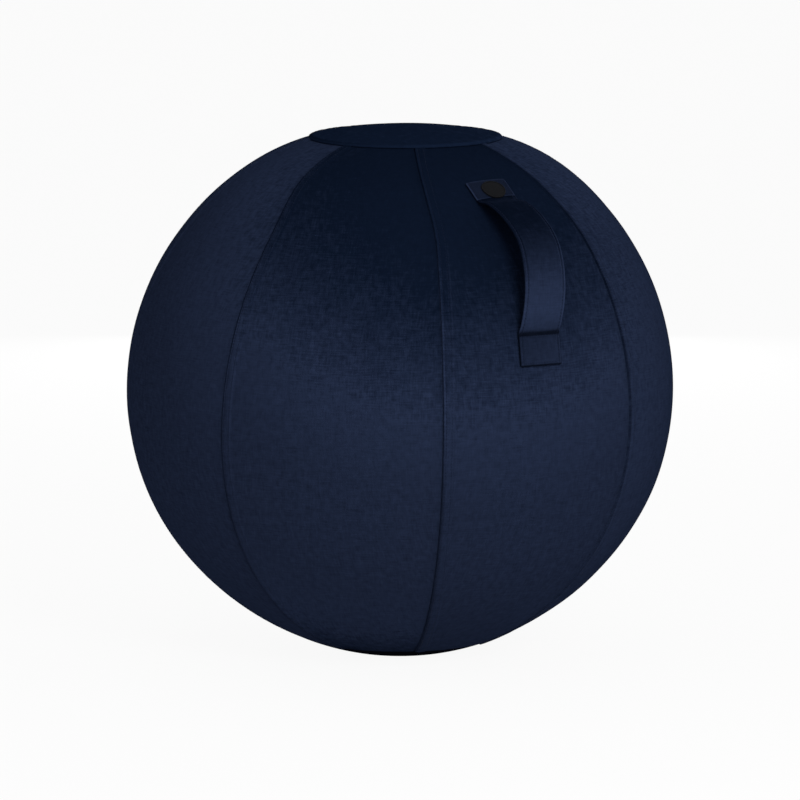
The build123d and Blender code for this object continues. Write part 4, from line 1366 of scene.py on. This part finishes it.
class SITBALL_OT_stitching(BallOperator):
    """Builds the topstitching beside the gores' seams"""

    bl_idname = "sitball.stitching"
    bl_label = "Topstitching"

    def build(self, held, outline):
        places = seam_stitches(outline, held.cover, held.zip, held.stitch)
        points, faces = stitch_run(*places, held.stitch)
        piece = make_piece("seam_stitching", points, faces.tolist())
        piece.data.materials.append(thread_material(held.finish))
        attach(piece, "cover")


class SITBALL_OT_badge(BallOperator):
    """Builds the plain round patch on the strap's upper tab"""

    bl_idname = "sitball.badge"
    bl_label = "Badge"

    def build(self, held, outline):
        points, flat = badge_surface(outline, held.strap)
        faces = tube_faces(*points.shape[:2])
        piece = make_piece("badge_patch", points, faces, flat, sharp=0.8, whole=True)
        rubber = solid("Badge rubber", held.finish.badge_tint, roughness=0.6, wear=0.3, gloss=0.04)
        fit(piece, rubber, "handle_badge")


class SITBALL_OT_zip(BallOperator):
    """Builds the zip's tapes and finishes its teeth, stops, slider and pull"""

    bl_idname = "sitball.zip"
    bl_label = "Zip"

    def build(self, held, outline):
        finish = held.finish
        cloth = woven("Zip tape", finish.tape_tint, threads=5200.0, roughness=0.75)
        for side, way in (("outer", 1), ("inner", -1)):
            points, flat = tape_surface(outline, held.cover, held.zip, way)
            faces = tube_faces(*points.shape[:2], flip=way > 0)
            piece = make_piece(f"zip_tape_cloth_{side}", points, faces, flat, sharp=0.9)
            fit(piece, cloth, f"zip_tape_{side}")
        teeth = solid("Zip teeth", finish.teeth_tint, roughness=0.4)
        dress(teeth, "zip_teeth_outer", "zip_teeth_inner", "zip_stops")
        lacquer = dict(roughness=0.32, grain=1500.0, bump=0.00005, wear=0.2)
        metal = solid("Zip metal", finish.metal_tint, **lacquer)
        dress(metal, "zip_slider", "zip_pull")


class SITBALL_OT_ball(BallOperator):
    """Finishes the air-filled ball and its plug inside the cover"""

    bl_idname = "sitball.ball"
    bl_label = "Ball and plug"

    def build(self, held, outline):
        points = ball_surface(outline, held.cover, held.zip)
        piece = make_piece("ball_skin", points, tube_faces(*points.shape[:2]))
        skin = solid("Ball skin", held.finish.ball_tint, roughness=0.5)
        fit(piece, skin, "inner_ball")
        dress(solid("Air plug", held.finish.plug_tint, roughness=0.45), "air_plug")


# Stage: each lamp's power setting, turn from the camera's azimuth, height angle, distance and size
LAMPS = (
    ("key", 0.40, 0.41, 3.0, 1.0),
    ("right", 1.45, 0.30, 2.2, 1.4),
    ("left", -0.80, 0.25, 2.6, 1.4),
    ("back", np.pi, 0.10, 3.0, 1.0),
)
FILL_AWAY, FILL_HEIGHT, FILL_SIZE = 0.9, 0.004, 1.6  # the floor fill in front of the ball
FLOOR_DROP = 0.0004  # keeps the floor just under the base
FLOOR_FRONT, FLOOR_BACK, SWEEP_RADIUS, WALL_TOP, HALF_WIDTH = -14.0, 11.0, 3.0, 12.0, 16.0
FLOOR_WHITE = 0.93  # share of plain white in the floor that the camera sees, the rest takes shadows
SWEEP_STEPS, FLOOR_COLUMNS = 25, 9
FLOOR_ROUGH, FLOOR_GLOSS = 0.9, 0.1
SENSOR = 36.0  # width of the camera's picture, in millimetres
WHITE = (1.0, 1.0, 1.0, 1.0)


def way_to(azimuth, height):
    """Direction at an azimuth, from the strap's side, and at a height angle."""
    flat = np.cos(height)
    return Vector((np.sin(azimuth) * flat, -np.cos(azimuth) * flat, np.sin(height)))


def place_on_stage(name, data, place, back):
    """Camera or lamp at a place, facing away from the back direction."""
    made = bpy.data.objects.new(name, data)
    made.location = place
    made.rotation_mode = "QUATERNION"
    made.rotation_quaternion = (-back).to_track_quat("-Z", "Y")
    bpy.context.scene.collection.objects.link(made)
    return made


def soft_lamp(name, place, back, size, power):
    """Square lamp at a place, shining away from the back direction, unseen by the camera."""
    data = bpy.data.lights.new(name, "AREA")
    data.shape = "SQUARE"
    data.size = size
    data.energy = power
    place_on_stage(name, data, place, back).visible_camera = False


def seen_directly(tree):
    """Socket that is 1 for what the camera sees, straight, mirrored or through glass, and 0 otherwise."""
    rays = tree.nodes.new("ShaderNodeLightPath").outputs
    seen = math(tree, "MAXIMUM", rays["Is Camera Ray"], rays["Is Glossy Ray"])
    return math(tree, "MAXIMUM", seen, rays["Is Transmission Ray"])


class SITBALL_OT_stage(BallOperator):
    """Builds the pale floor and backdrop, the soft lamps and the camera"""

    bl_idname = "sitball.stage"
    bl_label = "Stage"

    def build(self, held, outline):
        stage = held.stage
        ahead = way_to(stage.azimuth, 0.0)
        self.backdrop(held.finish, -ahead)
        back = way_to(stage.azimuth, stage.elevation)
        data = bpy.data.cameras.new("Camera")
        data.lens = stage.lens
        data.sensor_width = SENSOR
        eye = Vector((0.0, 0.0, stage.aim)) + back * stage.distance
        bpy.context.scene.camera = place_on_stage("Camera", data, eye, back)
        middle = Vector((0.0, 0.0, outline.centre))
        for key, turn, height, distance, size in LAMPS:
            back = way_to(stage.azimuth + turn, height)
            soft_lamp(f"{key.capitalize()} lamp", middle + back * distance, back, size, getattr(stage, key))
        below = Vector((0.0, 0.0, -1.0))
        soft_lamp("Floor fill", ahead * FILL_AWAY - below * FILL_HEIGHT, below, FILL_SIZE, stage.floor_fill)
        self.surround(stage)
        bpy.context.scene.view_settings.view_transform = "Standard"

    def backdrop(self, finish, away):
        """Floor that curves up into a wall behind the ball, in one sweep."""
        bend = np.linspace(0.0, np.pi / 2, SWEEP_STEPS)[1:]
        swept, climbed = FLOOR_BACK + SWEEP_RADIUS * np.sin(bend), SWEEP_RADIUS * (1 - np.cos(bend))
        run = np.concatenate([[FLOOR_FRONT, 0.0, FLOOR_BACK], swept, swept[-1:]])[:, None]
        rise = np.concatenate([np.zeros(3), climbed, [WALL_TOP]])[:, None]
        wide = np.linspace(-HALF_WIDTH, HALF_WIDTH, FLOOR_COLUMNS)
        x, y = run * away[0] - wide * away[1], run * away[1] + wide * away[0]
        points = np.stack([x, y, rise - FLOOR_DROP + 0 * wide], axis=-1)
        mesh = bpy.data.meshes.new("backdrop")
        faces = grid_faces(*points.shape[:2], False)[:, ::-1].tolist()
        mesh.from_pydata(points.reshape(-1, 3).tolist(), [], faces)
        mesh.polygons.foreach_set("use_smooth", np.ones(len(mesh.polygons), bool))
        piece = bpy.data.objects.new("backdrop", mesh)
        bpy.context.scene.collection.objects.link(piece)
        material, tree, shader = new_material("Backdrop")
        shader.inputs["Base Color"].default_value = (*finish.floor_tint, 1.0)
        shader.inputs["Roughness"].default_value = FLOOR_ROUGH
        shader.inputs["Specular IOR Level"].default_value = FLOOR_GLOSS
        white = add_node(tree, "ShaderNodeEmission", {"Color": WHITE, "Strength": 1.0})
        mix = tree.nodes.new("ShaderNodeMixShader")
        tree.links.new(math(tree, "MULTIPLY", seen_directly(tree), FLOOR_WHITE), mix.inputs["Fac"])
        tree.links.new(shader.outputs[0], mix.inputs[1])
        tree.links.new(white.outputs[0], mix.inputs[2])
        tree.links.new(mix.outputs[0], tree.nodes["Material Output"].inputs["Surface"])
        mesh.materials.append(material)

    def surround(self, stage):
        """Even pale light from all round, seen as white by the camera."""
        world = bpy.data.worlds.new("Studio")
        world.use_nodes = True
        tree = world.node_tree
        background = tree.nodes["Background"]
        background.inputs["Color"].default_value = WHITE
        extra = math(tree, "MULTIPLY", seen_directly(tree), 1.0 - stage.ambient)
        tree.links.new(math(tree, "ADD", extra, stage.ambient), background.inputs["Strength"])
        bpy.context.scene.world = world


OPERATORS = (
    SITBALL_OT_gores,
    SITBALL_OT_cap,
    SITBALL_OT_base,
    SITBALL_OT_stitching,
    SITBALL_OT_strap,
    SITBALL_OT_badge,
    SITBALL_OT_zip,
    SITBALL_OT_ball,
    SITBALL_OT_stage,
)


class SITBALL_PT_panel(bpy.types.Panel):
    """Lists the operators that build the sitting ball"""

    bl_idname = "SITBALL_PT_panel"
    bl_label = "Sitting Ball"
    bl_space_type = "VIEW_3D"
    bl_region_type = "UI"
    bl_category = "Sitting Ball"

    def draw(self, context):
        for operator in OPERATORS:
            self.layout.operator(operator.bl_idname)


GROUPS = (
    OutlineSizes,
    CoverSizes,
    StrapSizes,
    StitchSizes,
    ZipSizes,
    Finishes,
    StageSettings,
    SittingBall,
)
CLASSES = (*GROUPS, *OPERATORS, SITBALL_PT_panel)


def register():
    for kind in CLASSES:
        bpy.utils.register_class(kind)
    bpy.types.Scene.sitting_ball = PointerProperty(type=SittingBall)


def unregister():
    del bpy.types.Scene.sitting_ball
    for kind in reversed(CLASSES):
        bpy.utils.unregister_class(kind)


def main():
    register()
    bpy.ops.sitball.gores()
    bpy.ops.sitball.cap()
    bpy.ops.sitball.base()
    bpy.ops.sitball.stitching()
    bpy.ops.sitball.strap()
    bpy.ops.sitball.badge()
    bpy.ops.sitball.zip()
    bpy.ops.sitball.ball()
    bpy.ops.sitball.stage()


if __name__ == "__main__":
    main()
